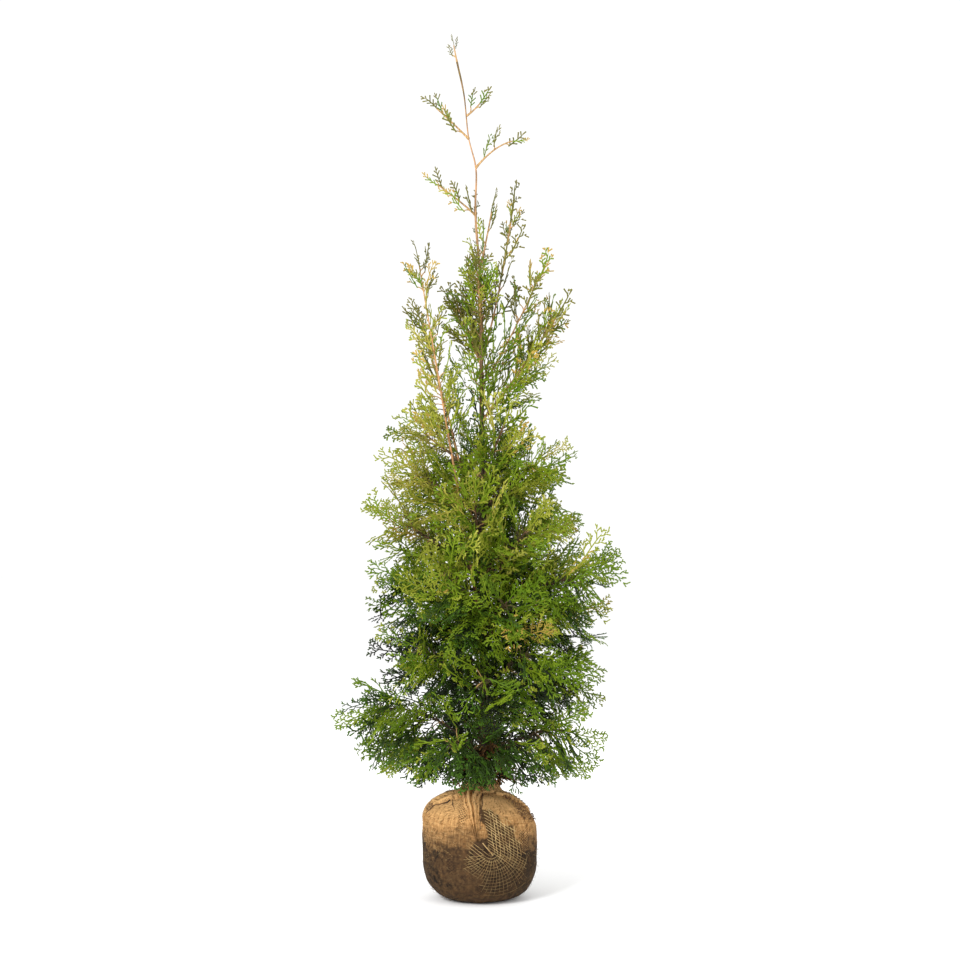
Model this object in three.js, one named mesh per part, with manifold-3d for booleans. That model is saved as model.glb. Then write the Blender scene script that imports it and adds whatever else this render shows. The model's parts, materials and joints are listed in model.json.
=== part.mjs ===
// A young columnar arborvitae as a nursery sells it: one leader, feathery ascending branches, and
// its root ball wrapped in burlap. Millimetres, +Z up. The origin is the centre of the ball's flat
// underside, +X is to the viewer's right and the viewer stands at -Y.
import * as THREE from 'three';
import { mergeVertices } from 'three/addons/utils/BufferGeometryUtils.js';
import Module from 'manifold-3d';

const wasm = await Module();
wasm.setup();

// Running gap between pieces that touch on the real plant
const gap = 0.35;

const ball = {
  radius: 114.5,
  height: 214,
  footRadius: 42,
  footPower: 0.75,
  landingRadius: 30,
  bellyHeight: 80,
  shoulderStart: 142,
  shoulderTilt: 30,
  tiltFrom: 0.35,
  tiltOver: 0.35,
  tiltPower: 0.6,
  sides: 28,
  stepsPerCurve: 4,
};

const collar = {
  radius: 36,
  innerRadius: 16,
  leftward: 12,
  height: 21,
  roll: 6,
  bellyShare: 0.45,
  lipShare: 0.7,
  pleats: 6,
  pleatDepth: 3,
  sides: 24,
};

// Folds of cloth that lie on the ball: where each starts and ends, as a turn about Z in degrees and
// a share of the way down the ball's side, with its widths and its height over the ball.
const folds = [
  { name: 'cloth_tail', from: [232, 0.03], to: [266, 0.42], widths: [40, 24], thickness: 10 },
  { name: 'cloth_fold', from: [218, 0.08], to: [190, 0.3], widths: [26, 20], thickness: 8 },
];
const foldRule = { steps: 6, sides: 7, endShare: 0.4, endPower: 6, lookAhead: 0.02 };

// The leader bends a little at every year's growth and leans left at its tip.
const trunk = {
  line: [
    [6, 0, 206],
    [9, 4, 412],
    [4, -3, 692],
    [3, 2, 992],
    [1, 4, 1214],
    [-9, 0, 1364],
    [-8, -2, 1454],
    [-23, 0, 1520],
    [-32, 2, 1604],
    [-46, 0, 1670],
  ],
  footRadius: 12.5,
  tipRadius: 1.3,
  taperPower: 3.2,
  flare: 7,
  flareHeight: 14,
  sides: 7,
  steps: 24,
};

// One row for each branch: the height of its foot on the trunk, its turn about Z in degrees (0 right,
// 90 back, 180 left, 270 front), its reach from the axis, its rise from foot to tip, its arch above a
// straight line, how far its twigs spread, the length of its sprays, and the share that is bare bough.
const branches = [
  ['skirt_left', 282, 187, 288, 66, 60, 70, 135, 0.25],
  ['skirt_back_left', 256, 148, 232, -14, 58, 70, 132, 0.25],
  ['skirt_back', 292, 98, 225, 30, 48, 70, 132, 0],
  ['skirt_back_right', 306, 36, 236, 84, 40, 70, 130, 0.25],
  ['skirt_right', 268, 354, 250, 46, 42, 70, 130, 0.25],
  ['skirt_front_right', 256, 306, 186, 26, 46, 66, 121, 0.2],
  ['skirt_front_left', 262, 240, 200, 26, 46, 66, 125, 0.2],
  ['lower_left', 396, 200, 212, 142, 18, 76, 141, 0.2],
  ['lower_back_left', 374, 132, 214, 120, 24, 76, 141, 0],
  ['lower_back_right', 412, 62, 210, 130, 24, 76, 141, 0],
  ['lower_right', 366, 10, 258, 78, 38, 76, 137, 0.2],
  ['lower_front_right', 406, 318, 204, 88, 36, 74, 135, 0.2],
  ['lower_front', 360, 272, 170, 84, 36, 74, 135, 0.2],
  ['middle_low_right', 470, 2, 262, 112, 24, 74, 135, 0],
  ['middle_right', 548, 347, 294, 102, 30, 76, 137, 0],
  ['middle_back_right', 532, 48, 222, 170, 20, 78, 139, 0],
  ['middle_back', 558, 104, 218, 170, 18, 78, 139, 0],
  ['middle_left', 500, 168, 226, 164, 16, 80, 141, 0],
  ['middle_front_left', 530, 236, 196, 170, 14, 78, 139, 0],
  ['middle_front', 492, 296, 186, 140, 20, 76, 135, 0],
  ['shoulder_right', 648, 16, 214, 116, 22, 74, 130, 0],
  ['shoulder_front_right', 608, 318, 184, 180, 10, 74, 132, 0],
  ['shoulder_back', 708, 80, 184, 180, 10, 74, 130, 0],
  ['shoulder_left', 636, 182, 226, 154, 10, 74, 135, 0],
  ['shoulder_front', 664, 262, 146, 190, 6, 70, 125, 0],
  ['upper_right', 772, 348, 182, 136, 10, 68, 123, 0],
  ['upper_left', 766, 194, 206, 122, 4, 68, 123, 0],
  ['upper_back', 838, 152, 190, 132, 0, 62, 112, 0],
  ['upper_front', 826, 302, 132, 170, 4, 60, 109, 0],
  ['coleader_left', 514, 213, 152, 788, 0, 42, 82, 0.45],
  ['coleader_outer', 664, 158, 142, 526, 34, 38, 78, 0.4],
  ['coleader_right', 1020, 350, 142, 272, -16, 44, 87, 0],
  ['coleader_top', 1076, 28, 84, 360, -40, 38, 75, 0.3],
  ['crown_right', 952, 354, 184, 256, -10, 48, 89, 0],
  ['crown_left', 1064, 140, 84, 168, 0, 42, 82, 0],
  ['crown_front', 1142, 262, 60, 150, 0, 36, 73, 0],
  ['twig_right', 1254, 60, 62, 170, -10, 32, 66, 0],
  ['twig_left', 1364, 183, 114, 78, 4, 26, 57, 0],
  ['twig_high_right', 1458, 356, 96, 54, 18, 24, 55, 0],
  ['twig_high_left', 1516, 174, 114, 86, 2, 28, 55, 0],
  ['twig_top', 1562, 22, 22, 56, -6, 22, 48, 0],
].map(([name, foot, turn, reach, rise, arch, spread, spray, bare], number) => ({
  name, foot, turn, reach, rise, arch, spread, spray, bare, number,
}));

// Twigs leave a stem one after another, each turned on round it, and lean forward into their spray.
const twigRule = {
  pitch: 25,
  firstAt: 0.6,
  lean: 46,
  leanRange: 20,
  rollStep: 2.4,
  rollRange: 0.8,
  swings: [0, 0.9, -0.9, 1.8, -1.8, 2.7],
  length: 0.55,
  narrowing: 0.5,
};

// A spray's widths and thickness are shares of its length. It is first tried at full size, turned a
// few ways, and then smaller. Low sprays nod and high ones rise, by the height of their joint, and
// none hangs lower than the ball's shoulder.
const sprayRule = {
  halfWidth: 0.33,
  rib: 0.02,
  leastRib: 1.2,
  thickness: 0.022,
  toothedShare: 0.74,
  stagger: 0.35,
  sweep: 0.9,
  sink: 4,
  footShare: 0.35,
  perTooth: 40,
  teeth: [2, 3],
  endShare: 0.7,
  narrowing: 0.36,
  forward: 0.6,
  lift: [[300, -0.25], [700, 0.4], [1200, 0.6], [1400, 1.1]],
  lowest: 234,
  rollFrom: 0.6,
  rollRange: 1.94,
  rolls: [0, 0.8, -0.8, 1.57],
  sizes: [1, 0.85, 0.7, 0.55],
  testAlong: [0.3, 0.55, 0.8],
  testAcross: [-1, -0.5, 0, 0.5, 1],
};

const boughRule = { sides: 6, step: 45 };
const stemRule = { sides: 3, step: 80 };
const branchRadius = { least: 1.4, perLength: 0.0036, tip: 1.2 };
const leaderTip = { bend: [-51, 0, 1694], end: [-56, 0, 1724], spread: 14, spray: 30 };
const spaceMargin = 1.3;
const segmentsPerStem = 12;
const youngFrom = 500;
const brightFrom = 900;

const materials = {
  bark: new THREE.MeshStandardMaterial({ color: '#6b5442', roughness: 0.9, metalness: 0 }),
  youngBark: new THREE.MeshStandardMaterial({ color: '#a87c50', roughness: 0.8, metalness: 0 }),
  deepFoliage: new THREE.MeshStandardMaterial({ color: '#3f5220', roughness: 0.6, metalness: 0 }),
  brightFoliage: new THREE.MeshStandardMaterial({ color: '#7c8a33', roughness: 0.6, metalness: 0 }),
  burlap: new THREE.MeshStandardMaterial({ color: '#b08a5c', roughness: 1, metalness: 0 }),
};

const up = new THREE.Vector3(0, 0, 1);

// A repeatable number from 0 to 1 for one draw at one twig of one branch.
function chance(branch, twig, draw) {
  const value = Math.sin(branch * 12.9898 + twig * 78.233 + draw * 37.719) * 43758.5453;
  return value - Math.floor(value);
}

function radians(degrees) {
  return (degrees * Math.PI) / 180;
}

// A closed mesh from a list of points and triangles.
function geometryOf(points, triangles) {
  const geometry = new THREE.BufferGeometry();
  geometry.setAttribute('position', new THREE.Float32BufferAttribute(points.flatMap((p) => [...p]), 3));
  geometry.setIndex(triangles.flat());
  return geometry;
}

function solidOf(geometry) {
  const bare = geometry.clone();
  bare.deleteAttribute('normal');
  bare.deleteAttribute('uv');
  const merged = mergeVertices(bare, 1e-4);
  return new wasm.Manifold(new wasm.Mesh({
    numProp: 3,
    vertProperties: merged.attributes.position.array,
    triVerts: new Uint32Array(merged.index.array),
  }));
}

// The geometry of a solid, measured from the point that its mesh is placed at.
function geometryFrom(solid, place) {
  const mesh = solid.getMesh();
  const points = [];
  for (let i = 0; i < mesh.numVert; i += 1) {
    points.push(new THREE.Vector3().fromArray(mesh.vertProperties, i * mesh.numProp).sub(place));
  }
  const geometry = geometryOf(points, [...mesh.triVerts]);
  geometry.computeVertexNormals();
  return geometry;
}

// The largest of the bodies that a cut leaves.
function mainBody(solid) {
  return solid.decompose().reduce((a, b) => (a.volume() > b.volume() ? a : b));
}

function place(parent, name, solid, material, at) {
  const mesh = new THREE.Mesh(geometryFrom(solid, at), material);
  mesh.name = name;
  mesh.position.copy(at);
  parent.add(mesh);
}

// A skin over rings of equal count, closed by a fan at each end.
function loft(rings) {
  const sides = rings[0].length;
  const triangles = [];
  for (let i = 0; i < rings.length - 1; i += 1) {
    for (let j = 0; j < sides; j += 1) {
      const next = (j + 1) % sides;
      const [a, b, c, d] = [i * sides + j, i * sides + next, (i + 1) * sides + next, (i + 1) * sides + j];
      triangles.push([a, b, c], [a, c, d]);
    }
  }
  const last = (rings.length - 1) * sides;
  for (let j = 1; j < sides - 1; j += 1) {
    triangles.push([0, j + 1, j], [last, last + j, last + j + 1]);
  }
  return solidOf(geometryOf(rings.flat(), triangles));
}

// Two directions square to a tangent: one level, and one that leans up.
function frameAt(tangent) {
  const reference = Math.abs(tangent.z) > 0.93 ? new THREE.Vector3(0, 1, 0) : up;
  const level = reference.clone().cross(tangent).normalize();
  const rising = tangent.clone().cross(level);
  return { level, rising };
}

function ringAt(centre, across, over, radiusAcross, radiusOver, sides) {
  return Array.from({ length: sides }, (_, j) => {
    const angle = (j / sides) * Math.PI * 2;
    return centre.clone()
      .addScaledVector(across, Math.cos(angle) * radiusAcross)
      .addScaledVector(over, Math.sin(angle) * radiusOver);
  });
}

// A round limb along a curve between two shares of its length.
function limb(curve, from, to, radiusAt, sides, steps) {
  const rings = [];
  for (let i = 0; i <= steps; i += 1) {
    const share = from + ((to - from) * i) / steps;
    const { level, rising } = frameAt(curve.getTangent(share));
    const radius = radiusAt(share);
    rings.push(ringAt(curve.getPoint(share), level, rising, radius, radius, sides));
  }
  return loft(rings);
}

// The root ball

// The ball's profile at a share of the way down from the landing to the foot, with its outward lean.
function ballProfile(share) {
  const { radius, height, footRadius, footPower, landingRadius, bellyHeight, shoulderStart } = ball;
  if (share < 0.5) {
    const angle = (0.5 - share) * Math.PI;
    const reach = landingRadius + (radius - landingRadius) * Math.cos(angle);
    return [reach, shoulderStart + (height - shoulderStart) * Math.sin(angle)];
  }
  const angle = (share - 0.5) * Math.PI;
  const fullness = Math.max(0, Math.cos(angle)) ** footPower;
  return [footRadius + (radius - footRadius) * fullness, bellyHeight * (1 - Math.sin(angle))];
}

// Soil never packs round: slow lumps round the ball, and one shoulder higher than the other.
function shapeBall(point, grow) {
  const { tiltFrom, tiltOver, tiltPower } = ball;
  const turn = Math.atan2(point.y, point.x);
  const heightShare = point.z / ball.height;
  const lump = 1 + 0.013 * Math.sin(2 * turn + 0.6) + 0.009 * Math.sin(5 * turn + 1.9 + 3 * heightShare);
  const shoulder = THREE.MathUtils.smoothstep(heightShare, tiltFrom, tiltFrom + tiltOver)
    * Math.max(0, 1 - heightShare) ** tiltPower;
  const reach = Math.hypot(point.x, point.y);
  const onFlat = heightShare < 1e-6 || heightShare > 1 - 1e-6;
  const scale = (onFlat ? 1 : lump) * (1 + (reach > 0 ? grow / reach : 0));
  const rise = onFlat ? 0 : -ball.shoulderTilt * shoulder * Math.cos(turn);
  return new THREE.Vector3(point.x * scale, point.y * scale, point.z + rise);
}

function ballSolid(grow) {
  const profile = [new THREE.Vector2(0, 0)];
  const steps = ball.stepsPerCurve * 2 + 1;
  for (let i = 0; i <= steps; i += 1) {
    const [reach, z] = ballProfile(1 - i / steps);
    profile.push(new THREE.Vector2(reach, z));
  }
  profile.push(new THREE.Vector2(0, ball.height));
  const geometry = new THREE.LatheGeometry(profile, ball.sides).rotateX(Math.PI / 2);
  const position = geometry.attributes.position;
  for (let i = 0; i < position.count; i += 1) {
    const moved = shapeBall(new THREE.Vector3().fromBufferAttribute(position, i), grow);
    const stretch = grow * (moved.z > ball.height / 2 ? 1 : -1);
    position.setXYZ(i, moved.x, moved.y, moved.z + stretch);
  }
  return solidOf(geometry);
}

function ballSurface(turn, share) {
  const [reach, z] = ballProfile(share);
  const angle = radians(turn);
  return shapeBall(new THREE.Vector3(Math.cos(angle) * reach, Math.sin(angle) * reach, z), 0);
}

function ballNormal(turn, share) {
  const here = ballSurface(turn, share);
  const down = ballSurface(turn, share + 0.01).sub(here);
  const around = ballSurface(turn + 1, share).sub(here);
  return down.cross(around).normalize();
}

// The cloth drawn together round the foot of the trunk, in soft pleats.
function collarSolid(footOfTrunk, grow) {
  const { radius, innerRadius, leftward, height, roll, bellyShare, lipShare, pleats, pleatDepth } = collar;
  const base = ball.height + gap;
  const profile = [
    new THREE.Vector2(innerRadius, base - grow),
    new THREE.Vector2(radius + grow, base - grow),
    new THREE.Vector2(radius + grow, base + height * bellyShare),
    new THREE.Vector2(radius - roll, base + height + grow),
    new THREE.Vector2(innerRadius + roll, base + height + grow),
    new THREE.Vector2(innerRadius, base + height * lipShare),
    new THREE.Vector2(innerRadius, base - grow),
  ];
  const geometry = new THREE.LatheGeometry(profile, collar.sides).rotateX(Math.PI / 2);
  const position = geometry.attributes.position;
  for (let i = 0; i < position.count; i += 1) {
    const point = new THREE.Vector3().fromBufferAttribute(position, i);
    const turn = Math.atan2(point.y, point.x);
    const reach = Math.hypot(point.x, point.y);
    const outer = (reach - innerRadius) / (radius - innerRadius);
    const swell = pleatDepth * Math.cos(pleats * turn) + leftward * Math.max(0, -Math.cos(turn));
    const pushed = reach + swell * outer;
    position.setXYZ(i, (point.x * pushed) / reach, (point.y * pushed) / reach, point.z);
  }
  return solidOf(geometry).translate([footOfTrunk.x, footOfTrunk.y, 0]);
}

// A soft strip of cloth that follows the ball's surface from one place to another.
function foldSolid({ from, to, widths, thickness }, grow) {
  const { steps, sides, endShare, endPower, lookAhead } = foldRule;
  const placeAt = (share) => from.map((start, i) => THREE.MathUtils.lerp(start, to[i], share));
  const rings = [];
  for (let i = 0; i <= steps; i += 1) {
    const share = i / steps;
    const centre = ballSurface(...placeAt(share));
    const ahead = ballSurface(...placeAt(share + lookAhead)).sub(centre);
    const over = ballNormal(...placeAt(share));
    const across = over.clone().cross(ahead).normalize();
    const fullness = Math.max(endShare, Math.sqrt(1 - Math.abs(2 * share - 1) ** endPower));
    const halfWidth = (THREE.MathUtils.lerp(...widths, share) / 2) * fullness;
    rings.push(ringAt(centre, across, over, halfWidth + grow, thickness * fullness + grow, sides));
  }
  return loft(rings);
}

// Trunk and branches

const trunkCurve = new THREE.CatmullRomCurve3(
  trunk.line.map((p) => new THREE.Vector3(...p)), false, 'catmullrom', 0.5,
);

function trunkRadius(share, grow = 0) {
  const risen = trunkCurve.getPoint(share).z - ball.height;
  const taper = (trunk.footRadius - trunk.tipRadius) * (1 - share) ** trunk.taperPower;
  return trunk.tipRadius + taper + trunk.flare * Math.exp(-risen / trunk.flareHeight) + grow;
}

// The trunk starts inside the ball's cloth and is cut flat where it leaves it.
function trunkSolid(grow) {
  const whole = limb(trunkCurve, 0, 1, (share) => trunkRadius(share, grow), trunk.sides, trunk.steps);
  return whole.trimByPlane([0, 0, 1], ball.height + gap);
}

// The share of the trunk's curve at a height, found by halving.
function trunkShareAt(z) {
  let [low, high] = [0, 1];
  for (let i = 0; i < 40; i += 1) {
    const middle = (low + high) / 2;
    if (trunkCurve.getPoint(middle).z < z) low = middle;
    else high = middle;
  }
  return (low + high) / 2;
}

// The branch's line from the trunk's middle to its furthest tip.
function branchCurve({ foot, turn, reach, rise, arch }) {
  const from = trunkCurve.getPoint(trunkShareAt(foot));
  const angle = radians(turn);
  const to = new THREE.Vector3(Math.cos(angle) * reach, Math.sin(angle) * reach, foot + rise);
  const middle = from.clone().lerp(to, 0.5).addScaledVector(up, 2 * arch);
  return new THREE.QuadraticBezierCurve3(from, middle, to);
}

for (const branch of branches) {
  branch.curve = branchCurve(branch);
  branch.length = branch.curve.getLength();
  branch.root = branchRadius.least + branchRadius.perLength * branch.length;
  branch.start = branch.bare > 0 ? branch.bare + gap / branch.length : 0;
  branch.stemEnd = 1 - (sprayRule.endShare * branch.spray) / branch.length;
}

// The leader's own tip is a mass too, standing on the end of the trunk.
const leader = {
  name: 'leader_tip',
  number: branches.length,
  spread: leaderTip.spread,
  spray: leaderTip.spray,
  bare: 0,
  root: trunk.tipRadius,
  curve: new THREE.QuadraticBezierCurve3(
    trunkCurve.getPoint(1), new THREE.Vector3(...leaderTip.bend), new THREE.Vector3(...leaderTip.end),
  ),
};
leader.length = leader.curve.getLength();
leader.start = gap / leader.length;
leader.stemEnd = 1 - (sprayRule.endShare * leader.spray) / leader.length;
branches.push(leader);

function radiusOn(branch, share) {
  return THREE.MathUtils.lerp(branch.root, branchRadius.tip, share);
}

// Where each mass may grow: nearer to its own stem than to any other.
for (const branch of branches) {
  branch.stemPoints = [];
  for (let i = 0; i <= segmentsPerStem; i += 1) {
    branch.stemPoints.push(branch.curve.getPoint(branch.bare + ((1 - branch.bare) * i) / segmentsPerStem));
  }
}

const segment = new THREE.Line3();
const nearest = new THREE.Vector3();
function distanceToStem(branch, point) {
  let least = Infinity;
  for (let i = 0; i < segmentsPerStem; i += 1) {
    segment.set(branch.stemPoints[i], branch.stemPoints[i + 1]);
    segment.closestPointToPoint(point, true, nearest);
    least = Math.min(least, nearest.distanceTo(point));
  }
  return least;
}

function inOwnSpace(branch, points) {
  return points.every((point) => {
    const own = distanceToStem(branch, point) + spaceMargin;
    return branches.every((other) => other === branch || distanceToStem(other, point) > own);
  });
}

// Foliage

function sprayEnvelope(share) {
  return Math.sin(Math.PI * (0.22 + 0.62 * share));
}

// Points spread over a twig and its spray, at which their space is tested.
function sprayPoints({ root, joint, along, across, length }) {
  const tip = joint.clone().addScaledVector(along, length);
  const points = [root.clone().lerp(joint, 0.5), joint, tip];
  for (const share of sprayRule.testAlong) {
    const middle = joint.clone().lerp(tip, share);
    const half = sprayRule.halfWidth * length * sprayEnvelope(share);
    points.push(...sprayRule.testAcross.map((side) => middle.clone().addScaledVector(across, side * half)));
  }
  return points;
}

// A three-sided twig that ends in a flat spray: a toothed blade with a raised rib on one face.
function spraySolid({ root, joint, along, across, length, radius }) {
  const face = along.clone().cross(across);
  const teeth = THREE.MathUtils.clamp(Math.round(length / sprayRule.perTooth), ...sprayRule.teeth);
  const pitch = (sprayRule.toothedShare * length) / teeth;
  const height = sprayRule.thickness * length;
  const at = (x, y, z) => joint.clone()
    .addScaledVector(along, x)
    .addScaledVector(across, y)
    .addScaledVector(face, z);
  const side = (sign) => {
    const edge = [];
    for (let i = 0; i <= teeth; i += 1) {
      const valley = (i + (sign > 0 || i === 0 ? 0 : sprayRule.stagger)) * pitch;
      edge.push([valley, sign * radius]);
      if (i < teeth) {
        const half = sprayRule.halfWidth * length * sprayEnvelope((i + 0.5) / teeth);
        edge.push([valley + 0.5 * pitch + sprayRule.sweep * half, sign * half]);
      }
    }
    return edge;
  };
  const right = side(-1);
  const outline = [...right, [length, 0], ...side(1).reverse()];
  const last = outline.length - 1;
  const tip = right.length;
  const ridge = outline.length;
  const foot = ridge + teeth + 1;
  const twigLine = joint.clone().sub(root).normalize();
  const footAcross = across.clone().addScaledVector(twigLine, -across.dot(twigLine)).normalize();
  const footFace = twigLine.clone().cross(footAcross);
  const points = outline.map(([x, y]) => at(x, y, 0));
  for (let i = 0; i <= teeth; i += 1) {
    points.push(at(i === 0 ? 0 : (i - sprayRule.stagger) * pitch, 0, height));
  }
  points.push(
    root.clone().addScaledVector(footAcross, -radius * sprayRule.footShare),
    root.clone().addScaledVector(footAcross, radius * sprayRule.footShare),
    root.clone().addScaledVector(footFace, height * sprayRule.footShare),
  );
  const triangles = THREE.ShapeUtils
    .triangulateShape(outline.map(([x, y]) => new THREE.Vector2(x, y)), [])
    .map(([p, q, r]) => [p, r, q]);
  for (let i = 0; i < teeth; i += 1) {
    const [r, l, top] = [2 * i, last - 2 * i, ridge + 1 + i];
    triangles.push([top, r, r + 1], [top, r + 1, r + 2], [top, l - 1, l], [top, l - 2, l - 1]);
    triangles.push([top - 1, r, top], [top - 1, top, l]);
  }
  const topLast = ridge + teeth;
  triangles.push([topLast, tip - 1, tip], [topLast, tip, tip + 1]);
  triangles.push([foot, 0, ridge], [foot, ridge, foot + 2], [foot + 2, ridge, last]);
  triangles.push([foot + 2, last, foot + 1], [foot + 1, last, 0], [foot + 1, 0, foot]);
  triangles.push([foot, foot + 2, foot + 1]);
  return solidOf(geometryOf(points, triangles));
}

// A direction that leans away from a tangent, rolled round it from its level side.
function leaning(tangent, lean, roll) {
  const { level, rising } = frameAt(tangent);
  const out = level.multiplyScalar(Math.cos(roll)).addScaledVector(rising, Math.sin(roll));
  return tangent.clone().multiplyScalar(Math.cos(lean)).addScaledVector(out, Math.sin(lean));
}

// One twig with the spray at its end, as the branch's rule places it.
function twigOn(branch, twig, count, swing) {
  const draw = (n) => chance(branch.number, twig, n);
  const along = (twig + twigRule.firstAt) / (count + 0.2);
  const share = THREE.MathUtils.lerp(branch.bare, branch.stemEnd, along);
  const root = branch.curve.getPoint(share);
  const tangent = branch.curve.getTangent(share);
  const turn = twig * twigRule.rollStep + (draw(1) - 0.5) * twigRule.rollRange + branch.number + swing;
  const direction = leaning(tangent, radians(twigRule.lean + twigRule.leanRange * draw(2)), turn);
  const narrowing = 1 - twigRule.narrowing * along;
  const length = twigRule.length * branch.spread * narrowing * (0.8 + 0.4 * draw(3));
  return {
    root,
    joint: root.clone().addScaledVector(direction, length),
    forward: direction.addScaledVector(tangent, sprayRule.forward).normalize(),
    roll: sprayRule.rollFrom + draw(5) * sprayRule.rollRange,
    length: branch.spray * (1 - sprayRule.narrowing * along) * (0.8 + 0.3 * draw(4)),
  };
}

function liftAt(height) {
  const { lift } = sprayRule;
  const next = lift.findIndex(([z]) => z > height);
  if (next <= 0) return next === 0 ? lift[0][1] : lift[lift.length - 1][1];
  const [[z0, lift0], [z1, lift1]] = [lift[next - 1], lift[next]];
  return THREE.MathUtils.mapLinear(height, z0, z1, lift0, lift1);
}

// The blade's frame: lifted or nodding by its height, and rolled about its own line.
function sprayFrom({ root, joint, forward, roll, length }) {
  const along = forward.clone().addScaledVector(up, liftAt(joint.z)).normalize();
  const { level, rising } = frameAt(along);
  const across = level.multiplyScalar(Math.cos(roll)).addScaledVector(rising, Math.sin(roll));
  const radius = Math.max(sprayRule.leastRib, sprayRule.rib * length);
  return { root, joint, along, across, length, radius };
}

function foliageOf(branch, obstacles) {
  const steps = Math.max(2, Math.round(branch.length / stemRule.step));
  const radiusAt = (share) => radiusOn(branch, share);
  const stem = limb(branch.curve, branch.start, branch.stemEnd, radiusAt, stemRule.sides, steps);
  const pieces = [mainBody(stem.subtract(obstacles))];
  let grown = obstacles;
  const addSpray = (twigs) => {
    for (const size of sprayRule.sizes) {
      for (const twig of twigs) {
        for (const turned of sprayRule.rolls) {
          const spray = sprayFrom({ ...twig, roll: twig.roll + turned, length: twig.length * size });
          const points = sprayPoints(spray);
          const isLow = points.some(({ z }) => z < sprayRule.lowest);
          if (isLow || !inOwnSpace(branch, points)) continue;
          const solid = spraySolid(spray);
          if (grown.intersect(solid).isEmpty()) {
            pieces.push(solid);
            grown = grown.add(solid);
            return;
          }
        }
      }
    }
  };
  const joint = branch.curve.getPoint(branch.stemEnd);
  const reach = branch.curve.getPoint(1).sub(joint);
  addSpray([{
    root: branch.curve.getPoint(branch.stemEnd - sprayRule.sink / branch.length),
    joint,
    forward: reach.clone().normalize().addScaledVector(up, -liftAt(joint.z)),
    roll: sprayRule.rollFrom + chance(branch.number, 0, 9) * sprayRule.rollRange,
    length: reach.length(),
  }]);
  const leafy = (branch.stemEnd - branch.bare) * branch.length;
  const count = Math.max(2, Math.round(leafy / twigRule.pitch));
  for (let i = 0; i < count; i += 1) {
    addSpray(twigRule.swings.map((swing) => twigOn(branch, i, count, swing)));
  }
  return mainBody(wasm.Manifold.union(pieces));
}

// Assembly

const arborvitae = new THREE.Group();
const wrappedBall = new THREE.Group();
const wood = new THREE.Group();
const crown = new THREE.Group();
arborvitae.add(wrappedBall, wood, crown);

const footOfTrunk = trunkCurve.getPoint(0);
const grownTrunk = trunkSolid(gap);
place(wrappedBall, 'root_ball', ballSolid(0), materials.burlap, new THREE.Vector3());
const pleatedCloth = collarSolid(footOfTrunk, 0).subtract(grownTrunk);
place(wrappedBall, 'cloth_collar', pleatedCloth, materials.burlap, footOfTrunk);
let cloth = wasm.Manifold.union([ballSolid(gap), collarSolid(footOfTrunk, gap)]);
for (const fold of folds) {
  const solid = mainBody(foldSolid(fold, 0).subtract(cloth));
  place(wrappedBall, fold.name, solid, materials.burlap, ballSurface(...fold.from));
  cloth = cloth.add(foldSolid(fold, gap));
}

place(wood, 'trunk', trunkSolid(0), materials.bark, footOfTrunk);
let limbs = wasm.Manifold.union([grownTrunk, cloth]);
for (const branch of branches.filter(({ bare }) => bare > 0)) {
  const steps = Math.max(3, Math.round((branch.bare * branch.length) / boughRule.step));
  const bough = (grow) => {
    const radiusAt = (share) => radiusOn(branch, share) + grow;
    const whole = limb(branch.curve, 0, branch.bare, radiusAt, boughRule.sides, steps);
    return mainBody(whole.subtract(grownTrunk));
  };
  const material = branch.foot > youngFrom ? materials.youngBark : materials.bark;
  place(wood, `bough_${branch.name}`, bough(0), material, branch.curve.getPoint(0));
  limbs = limbs.add(bough(gap * 2));
}

for (const branch of branches) {
  const foliage = foliageOf(branch, limbs);
  const isBright = branch.curve.getPoint(1).z > brightFrom;
  const material = isBright ? materials.brightFoliage : materials.deepFoliage;
  place(crown, `foliage_${branch.name}`, foliage, material, branch.curve.getPoint(branch.bare));
}

export default arborvitae;
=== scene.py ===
import itertools
import json
import math

import bpy
import numpy as np
from mathutils import Matrix, Vector, noise
from mathutils.bvhtree import BVHTree

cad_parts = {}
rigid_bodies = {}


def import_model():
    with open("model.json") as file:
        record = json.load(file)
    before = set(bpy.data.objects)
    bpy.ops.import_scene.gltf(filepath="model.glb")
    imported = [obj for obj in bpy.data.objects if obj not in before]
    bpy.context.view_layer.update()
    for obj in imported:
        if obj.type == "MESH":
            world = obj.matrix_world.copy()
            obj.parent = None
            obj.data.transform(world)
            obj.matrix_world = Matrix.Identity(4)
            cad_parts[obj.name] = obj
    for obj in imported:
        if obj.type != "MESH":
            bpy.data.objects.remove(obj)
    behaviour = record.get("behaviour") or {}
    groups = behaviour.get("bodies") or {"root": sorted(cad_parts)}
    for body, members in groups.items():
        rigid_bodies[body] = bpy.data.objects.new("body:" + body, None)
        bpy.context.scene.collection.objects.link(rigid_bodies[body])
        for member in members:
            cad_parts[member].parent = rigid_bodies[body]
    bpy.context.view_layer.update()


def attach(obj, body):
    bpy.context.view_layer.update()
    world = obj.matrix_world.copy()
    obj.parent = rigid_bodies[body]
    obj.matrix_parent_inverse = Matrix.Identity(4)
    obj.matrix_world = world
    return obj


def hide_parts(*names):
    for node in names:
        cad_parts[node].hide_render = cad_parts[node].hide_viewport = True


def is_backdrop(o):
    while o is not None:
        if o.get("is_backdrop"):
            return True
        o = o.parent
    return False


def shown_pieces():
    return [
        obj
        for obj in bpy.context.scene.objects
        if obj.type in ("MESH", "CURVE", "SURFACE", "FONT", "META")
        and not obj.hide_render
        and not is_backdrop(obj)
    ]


# A young arborvitae in a burlap root ball. The tables below are in millimetres and in degrees
# about Z, 0 right, 90 back, 180 left, 270 front. The meshes are in metres.

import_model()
mm = 0.001
up = np.array([0.0, 0.0, 1.0])


# Small helpers


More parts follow.
